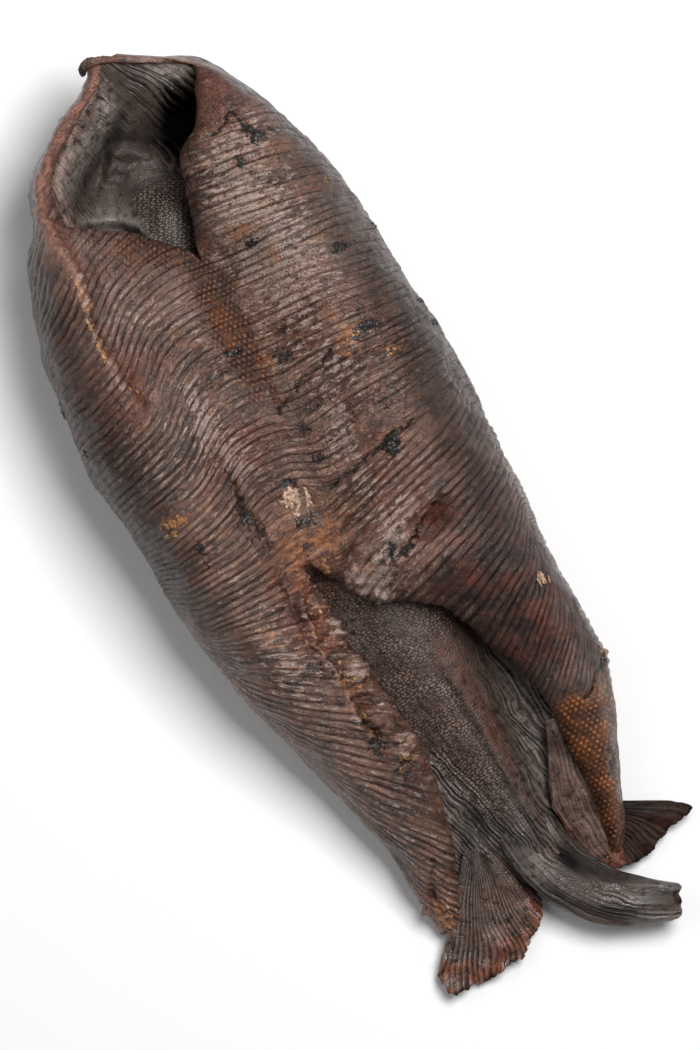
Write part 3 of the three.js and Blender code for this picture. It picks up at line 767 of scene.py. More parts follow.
# Head
# The ray's head in the front hollow: dark upper skin, stretched smooth up to the snout rim and wrinkled by
# drying, with hard shagreen beads on the dome behind the eyes. It sinks into a deep pocket on its right.
HEAD_ROWS = 300
HEAD_COLUMNS = 280
HEAD_FROM = 1.5
HEAD_TO = 92
HEAD_FLOOR = 35  # height of the skin between rim and dome
BEAD_PITCH = 1.1
BEAD_RISE = 0.36
HEAD_RIM = [(-43, 60), (-42, 50), (-40, 36), (-31, 26), (-19, 16), (-7, 7), (-2, 1), (6, 3), (14, 7),
            (29, 15)]
HEAD_LEFT_RIM = HEAD_RIM[:6]
HEAD_BROW = [(-27, 52), (-21, 42), (-15, 34.5), (-8, 36), (0, 41), (7, 47)]
HEAD_FOLD = [(-34, 55), (-27, 57), (-21, 60), (-17, 64), (-14.5, 72), (-13, 78)]
HEAD_CREST = [(-9, 19), (-18, 26), (-27, 32), (-34, 37), (-39, 43.5)]
HEAD_SWELLINGS = [(-5, 74, 21, 25, 25), (22, 17, 10, 6, 4)]
HEAD_PALE = [(-24, 60, 9, 7, 0.45), (20, 19, 8, 5, 0.4), (-15, 61, 4, 6, 0.4)]
# Darker spots in the hollow; those by the right wing's edge (14 across, 48 along), behind the crest (-24, 47)
# and on the dome (1, 77) are painted shade.
HEAD_DARK_SPOTS = [(-24, 47, 6, 8, 0.2), (-2, 33, 10, 6, 0.5), (-4, 5, 6, 5, 0.3), (14, 48, 6, 5, 0.4),
             (1, 77, 9, 6, 0.25), (-15, 20, 5, 4, 0.25)]


def pebbles(x, y, pitch, seed):
    """Rounded beads in uneven rows: 1 at the top of a bead and 0 in the gaps between them."""
    i, j = np.floor(x / pitch), np.floor(y / pitch)
    best = np.full(np.broadcast(x, y).shape, 9.0)
    for a in (-1, 0, 1):
        for b in (-1, 0, 1):
            row, stagger = j + b, 0.5 * np.mod(j + b, 2)
            toss = np.modf(np.sin((i + a) * 91.7 + row * 47.3 + seed) * 43758.5453)[0]
            turn = np.modf(np.sin((i + a) * 33.1 + row * 175.9 + seed) * 24634.6345)[0]
            px, py = i + a + 0.25 + stagger + 0.3 * toss, row + 0.5 + 0.3 * turn
            away = (x / pitch - px) ** 2 + (y / pitch - py) ** 2
            best = np.minimum(best, away / (0.34 + 0.16 * toss * turn))
    return np.clip(1 - best, 0, 1) ** 0.7


def between_wings(station, columns, tuck_left, tuck_right):
    """A level sheet that spans the gap between the wings' edges and tucks in under them."""
    v = station[:, None] + np.zeros(columns + 1)
    share = np.linspace(0, 1, columns + 1)[None, :]
    from_left = left["edge"](v) - tuck_left(v)
    to_right = right["edge"](v) + tuck_right(v)
    return mix(from_left, to_right, share), v


head_tuck_left = along((0, 1), (10, 2.5), (50, 3), (60, 8), (92, 8))
head_tuck_right = along((0, 1), (12, 1.5), (20, 8), (60, 9), (92, 8))
head_station = np.linspace(HEAD_FROM, HEAD_TO, HEAD_ROWS + 1)
u, v = between_wings(head_station, HEAD_COLUMNS, head_tuck_left, head_tuck_right)
wall = np.maximum(near_line(u, v, HEAD_LEFT_RIM, 11), near_line(u, v, HEAD_RIM[5:], 16))
hang = 2 * np.arctan2(np.maximum(u, -8) + 20, v + 25) + np.minimum(u + 8, 0) / 34
hang = hang + 0.05 * lumps(u, v, 13, 3) + 0.015 * lumps(u, v, 5, 4)
crest = near_line(u + 1.2 * lumps(u, v, 6, 70), v, HEAD_CREST, 3.2)
astray_u = u + 2.2 * lumps(u, v, 9, 64) + 0.8 * lumps(u, v, 3, 65)
astray_v = v + 2.2 * lumps(v, u, 9, 66) + 0.8 * lumps(v, u, 3, 67) + 2.5 * lumps(45 * hang, 0 * v, 1, 69)
pocket_out = ((astray_u - 18 + 0.25 * (v - 33)) / 12) ** 2 + ((astray_v - 34) / 10.5) ** 2
pocket = 1 / (1 + pocket_out**4)
front_fold = near_line(astray_u, v, HEAD_BROW, 2.2)
crumple = step(30, 36, v) * step(52, 46, v) * step(-30, -20, u)
pleats = (np.sin(31 * hang) + 0.5 * np.sin(83 * hang)) * step(0.05, 0.5, wall) * step(60, 30, v)
pleats = pleats * (1 - near_line(u, v, HEAD_LEFT_RIM, 4))
beyond_crest = near_line(u - 4.2 + lumps(u, v, 5, 78), v - 4.2, HEAD_CREST, 3)
slope = np.maximum(near_line(u, v, HEAD_LEFT_RIM, 11), near_line(u, v, HEAD_RIM[5:], 24))
z = HEAD_FLOOR + 33.5 * slope - 28 * pocket + spots(u, v, HEAD_SWELLINGS)
z += 1.8 * front_fold - 1.6 * near_line(astray_u, v + 5, HEAD_BROW, 3)
under_fold = near_line(u + 2, v - 3.2, HEAD_FOLD, 1.8)
z += 2.6 * near_line(u, v, HEAD_FOLD, 2) - 3 * under_fold
z += 1.2 * lumps(u, v, 13, 61) + 0.5 * lumps(u, v, 6, 68) + 0.6 * pleats
z += 2.8 * crest + 4 * near_line(u, v, HEAD_CREST, 8) - 4.2 * beyond_crest
z += crumple * (0.5 * lumps(u, v, 5, 62) + 0.35 * lumps(u, v, 2.2, 63))
beaded = step(-20, -12, u) * step(47, 54, v)
bead = pebbles(0.92 * u + 0.4 * v, 0.92 * v - 0.4 * u, BEAD_PITCH, 5)
z += BEAD_RISE * beaded * (bead - 0.5)
head_points = np.stack([u, -v, z], axis=2)
pale = 1.5 * near_line(u, v, HEAD_CREST, 4) + 0.3 * near_line(u, v, HEAD_LEFT_RIM, 14)
pale += 0.8 * near_line(u, v, HEAD_RIM[7:], 14) * step(6, 16, u) + 0.5 * near_line(u, v, HEAD_FOLD, 2)
# Painted shade: nearly black in the deep pocket, dark in the valley beyond the crest and under the fold, and
# at the dark spots.
char_and_shade = 1.2 * pocket + 0.6 * beyond_crest + 0.4 * under_fold + spots(u, v, HEAD_DARK_SPOTS)
head_marks = {
    "bead": bead * beaded,
    "beaded": beaded,
    "pale": np.clip(pale + spots(u, v, HEAD_PALE), 0, 1),
    "ruddy": 0.35 * near_line(u, v, HEAD_LEFT_RIM, 6) + 0.5 * near_line(u, v, HEAD_RIM[6:], 2),
    "char_and_shade": np.clip(char_and_shade, 0, 1),
    "strand": 25 * hang,
    "strandy": np.clip(0.4 + 0.3 * lumps(u, v, 7, 90), 0, 1) * step(0.04, 0.4, wall),
}
head = sheet_piece("head", head_points, head_marks)


def upper_skin():
    """Dark upper skin: hard beads with nearly black gaps and painted highlights on their tops, oily folds
    with painted shade and highlights, and pale or reddish thin margins.
    """
    material, tree, shader = finish_material("dark_upper_skin")
    where = node(tree, "ShaderNodeTexCoord").outputs["Object"]
    fine = cloud(where, 1200, 4)
    small = cloud(where, 300, 4)
    middling = cloud(where, 70, 4)
    names = ("bead", "beaded", "pale", "ruddy", "char_and_shade", "strand", "strandy")
    bead, beaded, pale, ruddy, char_and_shade, strand, strandy = (mark(tree, name) for name in names)
    strand = plus(strand, times_plus(middling, 0.5, -0.25))
    pleat = maths("SINE", times(strand, 2 * math.pi))
    own_depth = cloud(spread_out(times(strand, 0.7), times(middling, 2.0)), 1, 2)
    pleat = times(pleat, times(strandy, ramp(own_depth, 0.0, 0.55)))
    bead_top = ramp(bead, 0.55, 1.0)
    colour = tint(middling, (42, 33, 29), (76, 64, 57))
    colour = tint(times(pale, ramp(small, 0.0, 0.9, 0.3, 0.95)), colour, (142, 133, 126))
    colour = tint(ruddy, colour, tint(small, (64, 36, 28), (136, 76, 50)))
    # painted shade in the troughs of the pleats and folds, and painted highlights on their crests
    colour = tint(ramp(pleat, 0.1, 0.9, 0.0, 0.75), colour, (18, 14, 12))
    colour = tint(ramp(pleat, -0.2, -0.9, 0.0, 0.3), colour, (134, 124, 117))
    colour = tint(times(ramp(small, 0.3, 0.05), 0.6), colour, (26, 20, 17))
    gaps = times(maths("SUBTRACT", 1.0, bead_top), beaded)
    colour = tint(times(gaps, 0.65), colour, (22, 15, 12))
    # painted highlights on the tops of the beads
    colour = tint(times(bead_top, ramp(small, 0.1, 0.9, 0.25, 0.65)), colour, (150, 132, 121))
    # char, and painted shade where the mark carries it
    colour = tint(char_and_shade, colour, (12, 9, 8))
    tree.links.new(colour, shader.inputs["Base Color"])
    rough = times_plus(char_and_shade, 0.35, ramp(small, 0.0, 1.0, 0.38, 0.6))
    rough = times_plus(bead_top, -0.12, rough)
    tree.links.new(times_plus(strandy, -0.22, rough), shader.inputs["Roughness"])
    pitted = times(middling, ramp(strandy, 0.2, 0.9, -0.4, -0.08))
    height = times(fine, 0.1)
    for swelling, share in ((bead, 0.6), (ramp(cell_edges(where, 700.0), 0.25, 0.0), pitted), (small, 0.25),
                            (pleat, -0.5)):
        height = times_plus(swelling, share, height)
    tree.links.new(relief(height, 0.85, 0.0006), shader.inputs["Normal"])
    tree.links.new(ramp(char_and_shade, 0.0, 0.8, 0.5, 0.15), shader.inputs["Specular IOR Level"])
    return material


dark_upper_skin = upper_skin()
put_on(head, dark_upper_skin)

# Back
# The ray's back in the rear opening: beaded upper skin over the backbone, which passes into thin oily
# membranes on both sides of the tail. They shrank in the smoke into long folds, with one pocket on the left.
BACK_ROWS = 430
BACK_COLUMNS = 190
BACK_FROM = 216
BACK_TO = 370
BACK_BEAD_PITCH = 1.35
BACK_BEAD_RISE = 0.42
FURROW_DEPTH = 1.1
BACK_SWELLINGS = [(9, 340, 4.5, 6, -6), (8, 327, 4, 6, 3.5), (14, 338, 2.5, 10, 2.5), (0, 352, 6, 10, -3)]
BACK_PALE = [(2, 228, 8, 8, 0.7), (-4, 244, 4, 9, 0.6), (15, 334, 4, 11, 0.5), (9, 229, 7, 5, 0.5),
             (24, 346, 4, 9, 0.35)]
BACK_RUDDY = [(-4, 226, 6, 8, 0.5)]
BACK_CHAR = [(7, 343, 3, 5, 0.5), (1, 352, 5, 9, 0.35)]
spine_across = along((216, 10), (232, 13), (250, 16), (270, 20), (300, 24), (330, 27), (376, 34))
spine_height = along((216, 68), (232, 65), (242, 60), (262, 54), (300, 45), (334, 35), (360, 28), (376, 22))
left_half = along((216, 26), (262, 25), (300, 21), (334, 15), (376, 13))
right_half = along((216, 26), (262, 22), (300, 14), (334, 10), (376, 10))
side_height = along((216, 46), (240, 44), (262, 40), (300, 32), (334, 22), (352, 15), (376, 6))
back_tuck = along((216, 4), (250, 4), (376, 3))
u, v = between_wings(np.linspace(BACK_FROM, BACK_TO, BACK_ROWS + 1), BACK_COLUMNS, back_tuck, back_tuck)
beside = u - spine_across(v)
beside = beside / np.where(beside < 0, left_half(v), right_half(v))
hump = np.exp(-1.15 * np.abs(beside) ** 2.6)
slack = 1 - hump
left_slack = slack * (beside < 0) * step(296, 314, v)
right_slack = slack * (beside > 0) * step(268, 300, v)
left_folds = 0.952 * u - 0.305 * v + 1.8 * lumps(u, v, 15, 71) + 0.7 * lumps(u, v, 6, 72)
right_folds = 0.975 * u - 0.22 * v + 3 * lumps(u, v / 2, 9, 73) + 1.2 * lumps(u, v / 2, 4, 74)
from_furrow = u - spine_across(v) - 0.5
furrow = bell(from_furrow / 1.6) * step(262, 285, v)
z = mix(side_height(v), spine_height(v), hump)
z += left_slack * (0.55 * wave(left_folds / 4.6) + 0.45 * wave(left_folds / 1.9))
z += right_slack * (1.2 * wave(right_folds / 5.2) + 0.5 * wave(right_folds / 2.1))
z += spots(u, v, BACK_SWELLINGS) - FURROW_DEPTH * furrow
z += 0.7 * lumps(u, v, 14, 75) + 0.25 * lumps(u, v, 5, 76)
beaded = step(0.02, 0.3, hump) * step(368, 335, v) * (0.9 + 0.15 * lumps(u, v, 7, 77))
beaded = beaded * (1 - 0.45 * step(1, 4, from_furrow) * step(255, 275, v))
bead = pebbles(0.96 * u - 0.28 * v, 0.96 * v + 0.28 * u, BACK_BEAD_PITCH, 9)
z += BACK_BEAD_RISE * beaded * (bead - 0.5)
back_points = np.stack([u, -v, z], axis=2)
pale = 0.15 * bell(beside / 0.3) * step(330, 300, v) + 0.5 * right_slack
pale += 0.55 * left_slack * step(362, 346, v)
pale += 0.35 * step(-0.3, -0.8, beside) * step(326, 312, v) + 0.25 * step(312, 335, v) * (beside > -0.5)
ruddy = 0.3 * step(350, 300, v) * (1 - step(0.7, 1.3, np.abs(beside))) + spots(u, v, BACK_RUDDY)
ruddy += 0.2 * bell((from_furrow - 5) / 4) * step(255, 275, v)
# darker along the furrow beside the spine and at the hump's right edge by the gap: painted shade
char_and_shade = 0.35 * bell((beside - 0.85) / 0.25) * step(330, 290, v) + 0.1 * right_slack + 0.4 * furrow
back_marks = {
    "bead": bead * beaded,
    "beaded": beaded,
    "pale": np.clip(pale + spots(u, v, BACK_PALE), 0, 1),
    "ruddy": ruddy,
    "char_and_shade": np.clip(char_and_shade + spots(u, v, BACK_CHAR), 0, 1),
    "strand": np.where(beside < 0, left_folds / 1.5, right_folds / 1.7),
    "strandy": np.clip(left_slack + right_slack + step(335, 355, v), 0, 1),
}
back = sheet_piece("back", back_points, back_marks)
put_on(back, dark_upper_skin)

# Tail
# The stub of the tail, which leaves the back between the pelvic fins and bends to the right. Its smooth oily
# skin dried in fine long wrinkles, and its end was cut across and shows a little tan flesh.
TAIL_COLUMNS = 140
TAIL_ROWS = 330
CAP_ROWS = 16
TAIL_KNOTS = np.array([  # across, station, height, half width, half thickness
    (23, 300, 22, 9, 11),
    (26, 334, 18, 10, 11),
    (29.5, 360, 17.5, 13, 10.5),
    (43, 385, 17, 12.5, 9),
    (58, 395, 17, 10, 8.4),
    (71.5, 401, 17, 7.2, 7),
])
# Painted highlight on the tail's left side and painted shade on its right side, where it bends.
TAIL_PAINTED_HIGHLIGHT = [(24, 368, 5, 8, 0.5)]
TAIL_PAINTED_SHADE = [(36, 369, 5, 8, 0.4), (24, 368, 5, 8, -0.3)]
legs = np.linalg.norm(np.diff(TAIL_KNOTS[:, :3], axis=0), axis=1)
knots_along = np.concatenate([[0], np.cumsum(legs)])
tail_end = knots_along[-1]
spine = [along(*zip(knots_along, TAIL_KNOTS[:, i])) for i in range(5)]
body_rows = TAIL_ROWS - CAP_ROWS
walk = np.concatenate([np.linspace(0, tail_end, body_rows + 1), np.full(CAP_ROWS, tail_end)])
shrink = np.concatenate([np.ones(body_rows + 1), np.linspace(1, 0, CAP_ROWS + 1)[1:] ** 0.8])


def on_line(curves, distance):
    """Points in the ray's millimetres on a bent line, from its curves of across, station and height."""
    return np.stack([curves[0](distance), -curves[1](distance), curves[2](distance)], axis=1)


def unit(vectors):
    return vectors / np.linalg.norm(vectors, axis=1, keepdims=True)


def flattened(value):
    return np.sign(value) * np.abs(value) ** 0.82


ahead = unit(on_line(spine, walk + 0.5) - on_line(spine, walk - 0.5))
sideways = unit(np.cross(ahead, [0, 0, 1]))
upward = np.cross(sideways, ahead)
turn_knots = np.array([0, 0.42, 1.58, 2]) * math.pi
turn = np.interp(np.linspace(0, 1, TAIL_COLUMNS + 1), [0, 0.09, 0.91, 1], turn_knots)
out = (spine[3](walk) * shrink)[:, None] * flattened(np.sin(turn))
up = (spine[4](walk) * shrink)[:, None] * flattened(np.cos(turn))
tail_points = on_line(spine, walk)[:, None, :] - sideways[:, None, :] * out[:, :, None]
tail_points = tail_points - upward[:, None, :] * up[:, :, None]
u, v = tail_points[:, :, 0], -tail_points[:, :, 1]
top_side = step(-0.2, 0.25, -np.cos(turn))[None, :]
from_spine = spine[3](walk)[:, None] * np.sin(turn)
distance = walk[:, None] + 0 * out
wrinkle = from_spine + 2.4 * lumps(from_spine, distance / 2.5, 9, 51)
wrinkle = wrinkle + 0.8 * lumps(from_spine, distance / 2, 4, 52)
rise = 0.25 * wave(wrinkle / 6.3) + 0.1 * wave(wrinkle / 2.6)
rise = rise + 0.9 * lumps(from_spine, distance / 2, 9, 54) - 1.3 * bell((from_spine - 4) / 2.5)
cut = (np.arange(TAIL_ROWS + 1) > body_rows)[:, None]
tail_points = tail_points + outward(tail_points) * np.where(cut, 0, rise * top_side)[:, :, None]
torn = 2.2 * lumps(out, tail_points[:, :, 2], 3, 56) * step(tail_end - 3, tail_end, distance)
tail_points = tail_points + ahead[:, None, :] * torn[:, :, None]
pale = 0.05 + 0.2 * lumps(from_spine, distance / 3, 6, 57) + 0.5 * cut
pale += 0.35 * step(68, 52, distance) + 0.25 * step(95, 107, distance) + spots(u, v, TAIL_PAINTED_HIGHLIGHT)
flesh = cut * (0.6 + lumps(u, tail_points[:, :, 2], 3, 58))
char_and_shade = 0.34 + 0.45 * lumps(from_spine, distance / 6, 4, 53) + spots(u, v, TAIL_PAINTED_SHADE)
char_and_shade += step(tail_end - 2.5, tail_end, distance) * lumps(from_spine, distance, 3, 59)
tail_marks = {
    "bead": 0,
    "beaded": 0,
    "pale": np.clip(pale, 0, 1),
    "ruddy": np.clip(flesh + 0.3 * lumps(from_spine, distance / 6, 5, 55), 0, 1),
    "char_and_shade": np.clip(char_and_shade, 0, 1),
    "strand": wrinkle / 1.9,
    "strandy": np.clip(0.6 + 0.6 * lumps(from_spine, distance / 4, 5, 60), 0, 1),
}
tail = sheet_piece("tail", tail_points, tail_marks)


def close_seams():
    """Joins the picked sheet to itself where its edges meet."""
    bpy.ops.object.mode_set(mode="EDIT")
    bpy.ops.mesh.select_all(action="SELECT")
    bpy.ops.mesh.remove_doubles(threshold=0.00001)
    bpy.ops.object.mode_set(mode="OBJECT")


close_seams()
put_on(tail, dark_upper_skin)

# Leaf flap
# A thin leaf of skin between the tail and the right wing's rear end, the inner lobe of the right pelvic fin.
# It lies cupped, with fine lines along it and a dark red lower edge.
FLAP_ROWS = 130
FLAP_COLUMNS = 60
FLAP_FROM = 312
FLAP_TO = 379
FLAP_CUP = 2.2
SKIN_THICKNESS = 0.0012
flap_free = along((312, 53), (325, 47.5), (342, 41.5), (355, 42), (368, 45.5), (375, 50), (379, 56.5))
flap_free_height = along((312, 36), (325, 31), (342, 25), (355, 20), (368, 15), (379, 11))
flap_root = along((312, 57), (345, 60.5), (379, 59))
flap_root_height = along((312, 35), (345, 23), (379, 8))


def thicken():
    """Gives the picked sheet the thickness of dried skin, on its underside."""
    bpy.ops.object.modifier_add(type="SOLIDIFY")
    bpy.context.object.modifiers[-1].thickness = SKIN_THICKNESS
    bpy.context.object.modifiers[-1].offset = -1


length = np.linspace(0, 1, FLAP_ROWS + 1)[:, None]
width = np.linspace(-1, 1, FLAP_COLUMNS + 1)[None, :]
v = mix(FLAP_FROM, FLAP_TO, length) + 0 * width
frayed = 0.35 * lumps(v, 0 * v, 2.5, 80) * step(-0.6, -1, width)
u = mix(flap_free(v), flap_root(v), (width + 1) / 2) + frayed
strands = width * 7 + 0.6 * lumps(u, v, 8, 81)
z = mix(flap_free_height(v), flap_root_height(v), (width + 1) / 2) + FLAP_CUP * (1 - width**2)
z += 0.2 * np.sin(strands * math.pi) + 0.6 * lumps(u, v, 6, 82)
red_edge = step(-0.8, -1, width) * step(0.4, 0.8, length) + step(0.85, 1, length)
flap_marks = {
    "bead": 0,
    "beaded": 0,
    "pale": np.clip(0.3 + 0.35 * lumps(u, v / 3, 3, 83), 0, 1),
    "ruddy": np.clip(0.3 + red_edge, 0, 0.9),
    "char_and_shade": 0.6 * step(-0.93, -1, width) + 0.35 * step(0.45, 0.1, length),
    "strand": 1.1 * strands,
    "strandy": 0.6,
}
leaf_flap = sheet_piece("leaf_flap", np.stack([u, -v, z], axis=2), flap_marks)
thicken()
put_on(leaf_flap, dark_upper_skin)

# Left pelvic fin
# A fan of fin rays under dark skin, spread flat behind the left wing from its root under the back's membrane.
# Its margin dried thin, red and ragged.
FIN_ROWS = 120
FIN_COLUMNS = 240


def fin_shape(root, turn_from, turn_to, reach, bare_from, drop, swing, rays, redness, darkness, seed):
    """A fan of rays from its root, with a ragged margin and the marks that its finish reads."""
    out_share = np.linspace(bare_from, 1, FIN_ROWS + 1)[:, None]
    round_share = np.linspace(0, 1, FIN_COLUMNS + 1)[None, :]
    turn = np.radians(mix(turn_from, turn_to, round_share))
    margin_walk = round_share * 60
    ragged = 0.02 * lumps(margin_walk, 0 * turn, 3.6, seed)
    ragged = ragged + 0.012 * lumps(margin_walk, 0 * turn, 0.7, seed + 1)
    away = reach(round_share) * (1 + ragged * step(0.6, 1, out_share)) * out_share
    u = root[0] + away * np.sin(turn)
    v = root[1] + away * np.cos(turn)
    ray = rays * round_share + 0.9 * lumps(u, v, 14, seed + 2)
    z = root[2] - drop * out_share**1.2 + swing * out_share * np.sin(round_share * 5 * math.pi)
    z = z + 0.5 * out_share * (np.abs(np.sin(math.pi * ray)) ** 0.6 - 0.5)
    z = z + 1.6 * out_share**5 * lumps(u, v, 5, seed + 3)
    margin = out_share + 0.14 * lumps(u, v, 6, seed + 4)
    burnt = step(0.1, 0.5, lumps(margin_walk, 0 * turn, 2.5, seed + 5))
    ruddy = (0.25 + 0.4 * darkness + 0.2 * lumps(u, v, 8, seed + 6)) * step(0.15, 0.6, out_share)
    char_and_shade = 0.8 * step(0.955, 1, out_share) * burnt + darkness + 0.2 * step(0.8, bare_from, out_share)
    marks = {
        "bead": 0,
        "beaded": 0,
        "pale": 0.22 * out_share,
        "ruddy": np.clip(ruddy + redness * step(0.76, 0.98, margin), 0, 1),
        "char_and_shade": np.clip(char_and_shade, 0, 1),
        "strand": ray + 0.5,
        "strandy": 0.9 * step(0.05, 0.3, out_share),
    }
    return np.stack([u, -v, np.maximum(z, SKIN_THICKNESS / MM)], axis=2), marks


left_fin_reach = along((0, 62), (0.1, 67.5), (0.19, 66), (0.34, 61), (0.54, 58), (0.67, 53.5), (0.83, 48),
                       (1, 41))
left_fin_look = fin_shape(root=(7, 340, 15), turn_from=-35.5, turn_to=20.5, reach=left_fin_reach,
                          bare_from=0.14, drop=8, swing=1.6, rays=24, redness=0.8, darkness=0.1, seed=91)
left_fin = sheet_piece("left_pelvic_fin", *left_fin_look)
thicken()
put_on(left_fin, dark_upper_skin)

# Right pelvic fin
# The outer lobe of the right pelvic fin, a smaller fan of rays under the same dark skin. It sticks out past
# the right wing's rear end as a dark maroon point.
right_fin_reach = along((0, 29), (0.21, 31.6), (0.45, 33.3), (0.71, 34.7), (0.87, 40), (0.95, 42.5), (1, 34))
right_fin_look = fin_shape(root=(54, 350, 13), turn_from=6, turn_to=66, reach=right_fin_reach,
                           bare_from=0.15, drop=5, swing=1.2, rays=14, redness=0.4, darkness=0.8, seed=101)
right_fin = sheet_piece("right_pelvic_fin", *right_fin_look)
thicken()
put_on(right_fin, dark_upper_skin)

# Snout hook
# The front of the snout rim, a strip of thin skin that runs along the right wing's front edge. Its free
# corner curled outwards into a small dark beak as it dried.
HOOK_ROWS = 150
HOOK_COLUMNS = 32
HOOK_KNOTS = np.array([  # across, station, height, half breadth, half thickness
    (29, 16, 72, 0.7, 0.9),
    (20, 10.5, 72, 0.9, 1),
    (10, 6, 71.5, 1.1, 1),
    (2, 2, 71, 1.2, 1.1),
    (-5, -0.5, 71.5, 1.7, 1.2),
    (-10, -0.5, 69, 1.9, 1.2),
    (-12, 2.5, 65, 1.3, 1),
])
BEAK = len(HOOK_KNOTS) - 1
hook = [along(*enumerate(HOOK_KNOTS[:, i])) for i in range(5)]
walk = np.linspace(0, BEAK, HOOK_ROWS + 1)
middle = on_line(hook, walk)
walk = walk[:, None]
spin = np.linspace(0, 2 * math.pi, HOOK_COLUMNS + 1)[None, :]
close = np.sqrt(np.clip(1 - (2 * walk / BEAK - 1) ** 20, 0, 1))
ahead = unit(np.gradient(middle, axis=0))
broad = unit(np.cross(ahead, [0.2, 0, 1]))
thick = np.cross(broad, ahead)
round_u, round_v = walk * 9 + 2 * np.cos(spin), 2 * np.sin(spin)
uneven = (0.5 * lumps(round_u, round_v, 2.1, 111) + 0.3 * lumps(round_u, round_v, 0.9, 112)) * close
out = hook[3](walk) * close * np.cos(spin) + 0.6 * uneven
up = hook[4](walk) * close * np.sin(spin) + uneven
hook_points = middle[:, None, :] + broad[:, None, :] * out[:, :, None] + thick[:, None, :] * up[:, :, None]
hook_marks = {
    "bead": 0,
    "beaded": 0,
    "pale": 0.8 * step(0.4, 1.2, walk) * step(3.2, 2.2, walk) + 0.1,
    "ruddy": 0.45 * step(5.2, 3.6, walk),
    "char_and_shade": 0.5 * step(4.2, 5.2, walk),
    "strand": walk * 5 + spin,
    "strandy": 0.2,
}
snout_hook = sheet_piece("snout_hook", hook_points, hook_marks)
close_seams()
put_on(snout_hook, dark_upper_skin)

# Tar scabs
# Soot and fat that dripped on the skin in the smokehouse and dried into hard black scabs.
# Each scab is a heap of small crumbs stuck on the wings, and all of them are one mesh.
TAR_PLACES = [(51, 139, 4.5, 1.6, 30, 0.9), (46, 142, 2.5, 1, 10, 0.7), (40, 186, 1.8, 3.2, 30, 0.9),
              (22, 91, 2.2, 1.4, 16, 0.8), (41, 54, 2.6, 1.8, 22, 0.9), (38, 50, 1, 2.5, 8, 0.6),
              (15, 137, 2.6, 1.4, 18, 0.7), (53, 107, 3, 1.5, 16, 0.7), (11, 165, 2, 1.2, 12, 0.7),
              (18, 160, 3, 0.8, 10, 0.5), (-3, 127, 2, 1.2, 12, 0.6), (-4, 200, 2.4, 1.4, 22, 0.8),
              (-4, 183, 1.6, 1.2, 12, 0.7), (31, 61, 1.8, 1.2, 10, 0.7), (12, 178, 2, 1, 10, 0.6),
              (-24, 190, 2, 6, 18, 0.6), (-46, 192, 1.6, 1.2, 8, 0.7), (57, 152, 3, 2, 14, 0.5),
              (24, 224, 1, 4, 12, 0.7), (-14, 292, 2.5, 5, 26, 0.8), (-8, 306, 2, 4, 22, 0.8),
              (-21, 250, 1, 14, 20, 0.5), (70, 102, 0.8, 1.5, 5, 0.9), (75, 137, 0.8, 1.5, 6, 0.9),
              (76, 148, 0.8, 1.5, 5, 1), (-76, 122, 0.8, 2, 5, 0.7), (-72, 140, 0.8, 2, 6, 0.7),
              (83, 299, 1.5, 2, 10, 0.9)]


def upper_side(points, hand):
    """Points of a wing's outer skin and the directions that they face."""
    shown = slice(RUNS["belly"] + 4, inside_start)
    return np.concatenate([points[:, shown], outward(points)[:, shown] * hand], axis=2).reshape(-1, 6)


skin = np.concatenate([upper_side(right_points, 1), upper_side(left_points, -1)])


def crumbs(name, places, form, lie, seed):
    """Heaps of jagged lumps on the wings: (across, station, reach across, reach along, how many, size)."""
    chance = np.random.default_rng(seed)
    bpy.ops.object.select_all(action="DESELECT")
    bpy.ops.mesh.primitive_ico_sphere_add(subdivisions=2, radius=1)
    piece = bpy.context.object
    ball = np.array([corner.co for corner in piece.data.vertices])
    sides = np.array([side.vertices for side in piece.data.polygons])
    corners, faces = [], []
    for across, station, wide, long, count, size in places:
        for _ in range(count):
            target = np.array([across, -station]) + chance.normal(0, 0.6, 2) * [wide, long]
            near = skin[np.argmin(((skin[:, :2] - target) ** 2).sum(axis=1))]
            facing = near[3:]
            ahead = np.cross(facing, chance.normal(0, 1, 3) + [lie, 0, 0])
            ahead = ahead / np.linalg.norm(ahead)
            lump = ball * chance.uniform(0.65, 1.35, (len(ball), 1)) * size * chance.uniform(0.5, 1.3)
            lump = lump * form
            turned = lump[:, :1] * ahead + lump[:, 1:2] * np.cross(facing, ahead) + lump[:, 2:] * facing
            faces.append(sides + len(corners) * len(ball))
            corners.append(near[:3] + turned + facing * 0.15 * size)
    bpy.ops.object.delete()
    shape = bpy.data.meshes.new(name)
    placed = (np.concatenate(corners) + [-MIDDLE_ACROSS, MIDDLE_STATION, 0]) * MM
    shape.from_pydata(placed.tolist(), [], np.concatenate(faces).tolist())
    made = bpy.data.objects.new(name, shape)
    bpy.context.scene.collection.objects.link(made)
    return made


def crumb_finish(name, dark, light, roughness):
    material, tree, shader = finish_material(name)
    where = node(tree, "ShaderNodeTexCoord").outputs["Object"]
    tree.links.new(tint(cloud(where, 800), dark, light), shader.inputs["Base Color"])
    shader.inputs["Roughness"].default_value = roughness
    return material


tar_scabs = crumbs("tar_scabs", TAR_PLACES, form=(1.3, 0.8, 0.4), lie=0, seed=7)
put_on(tar_scabs, crumb_finish("dried_tar", dark=(14, 11, 10), light=(38, 32, 29), roughness=0.4))

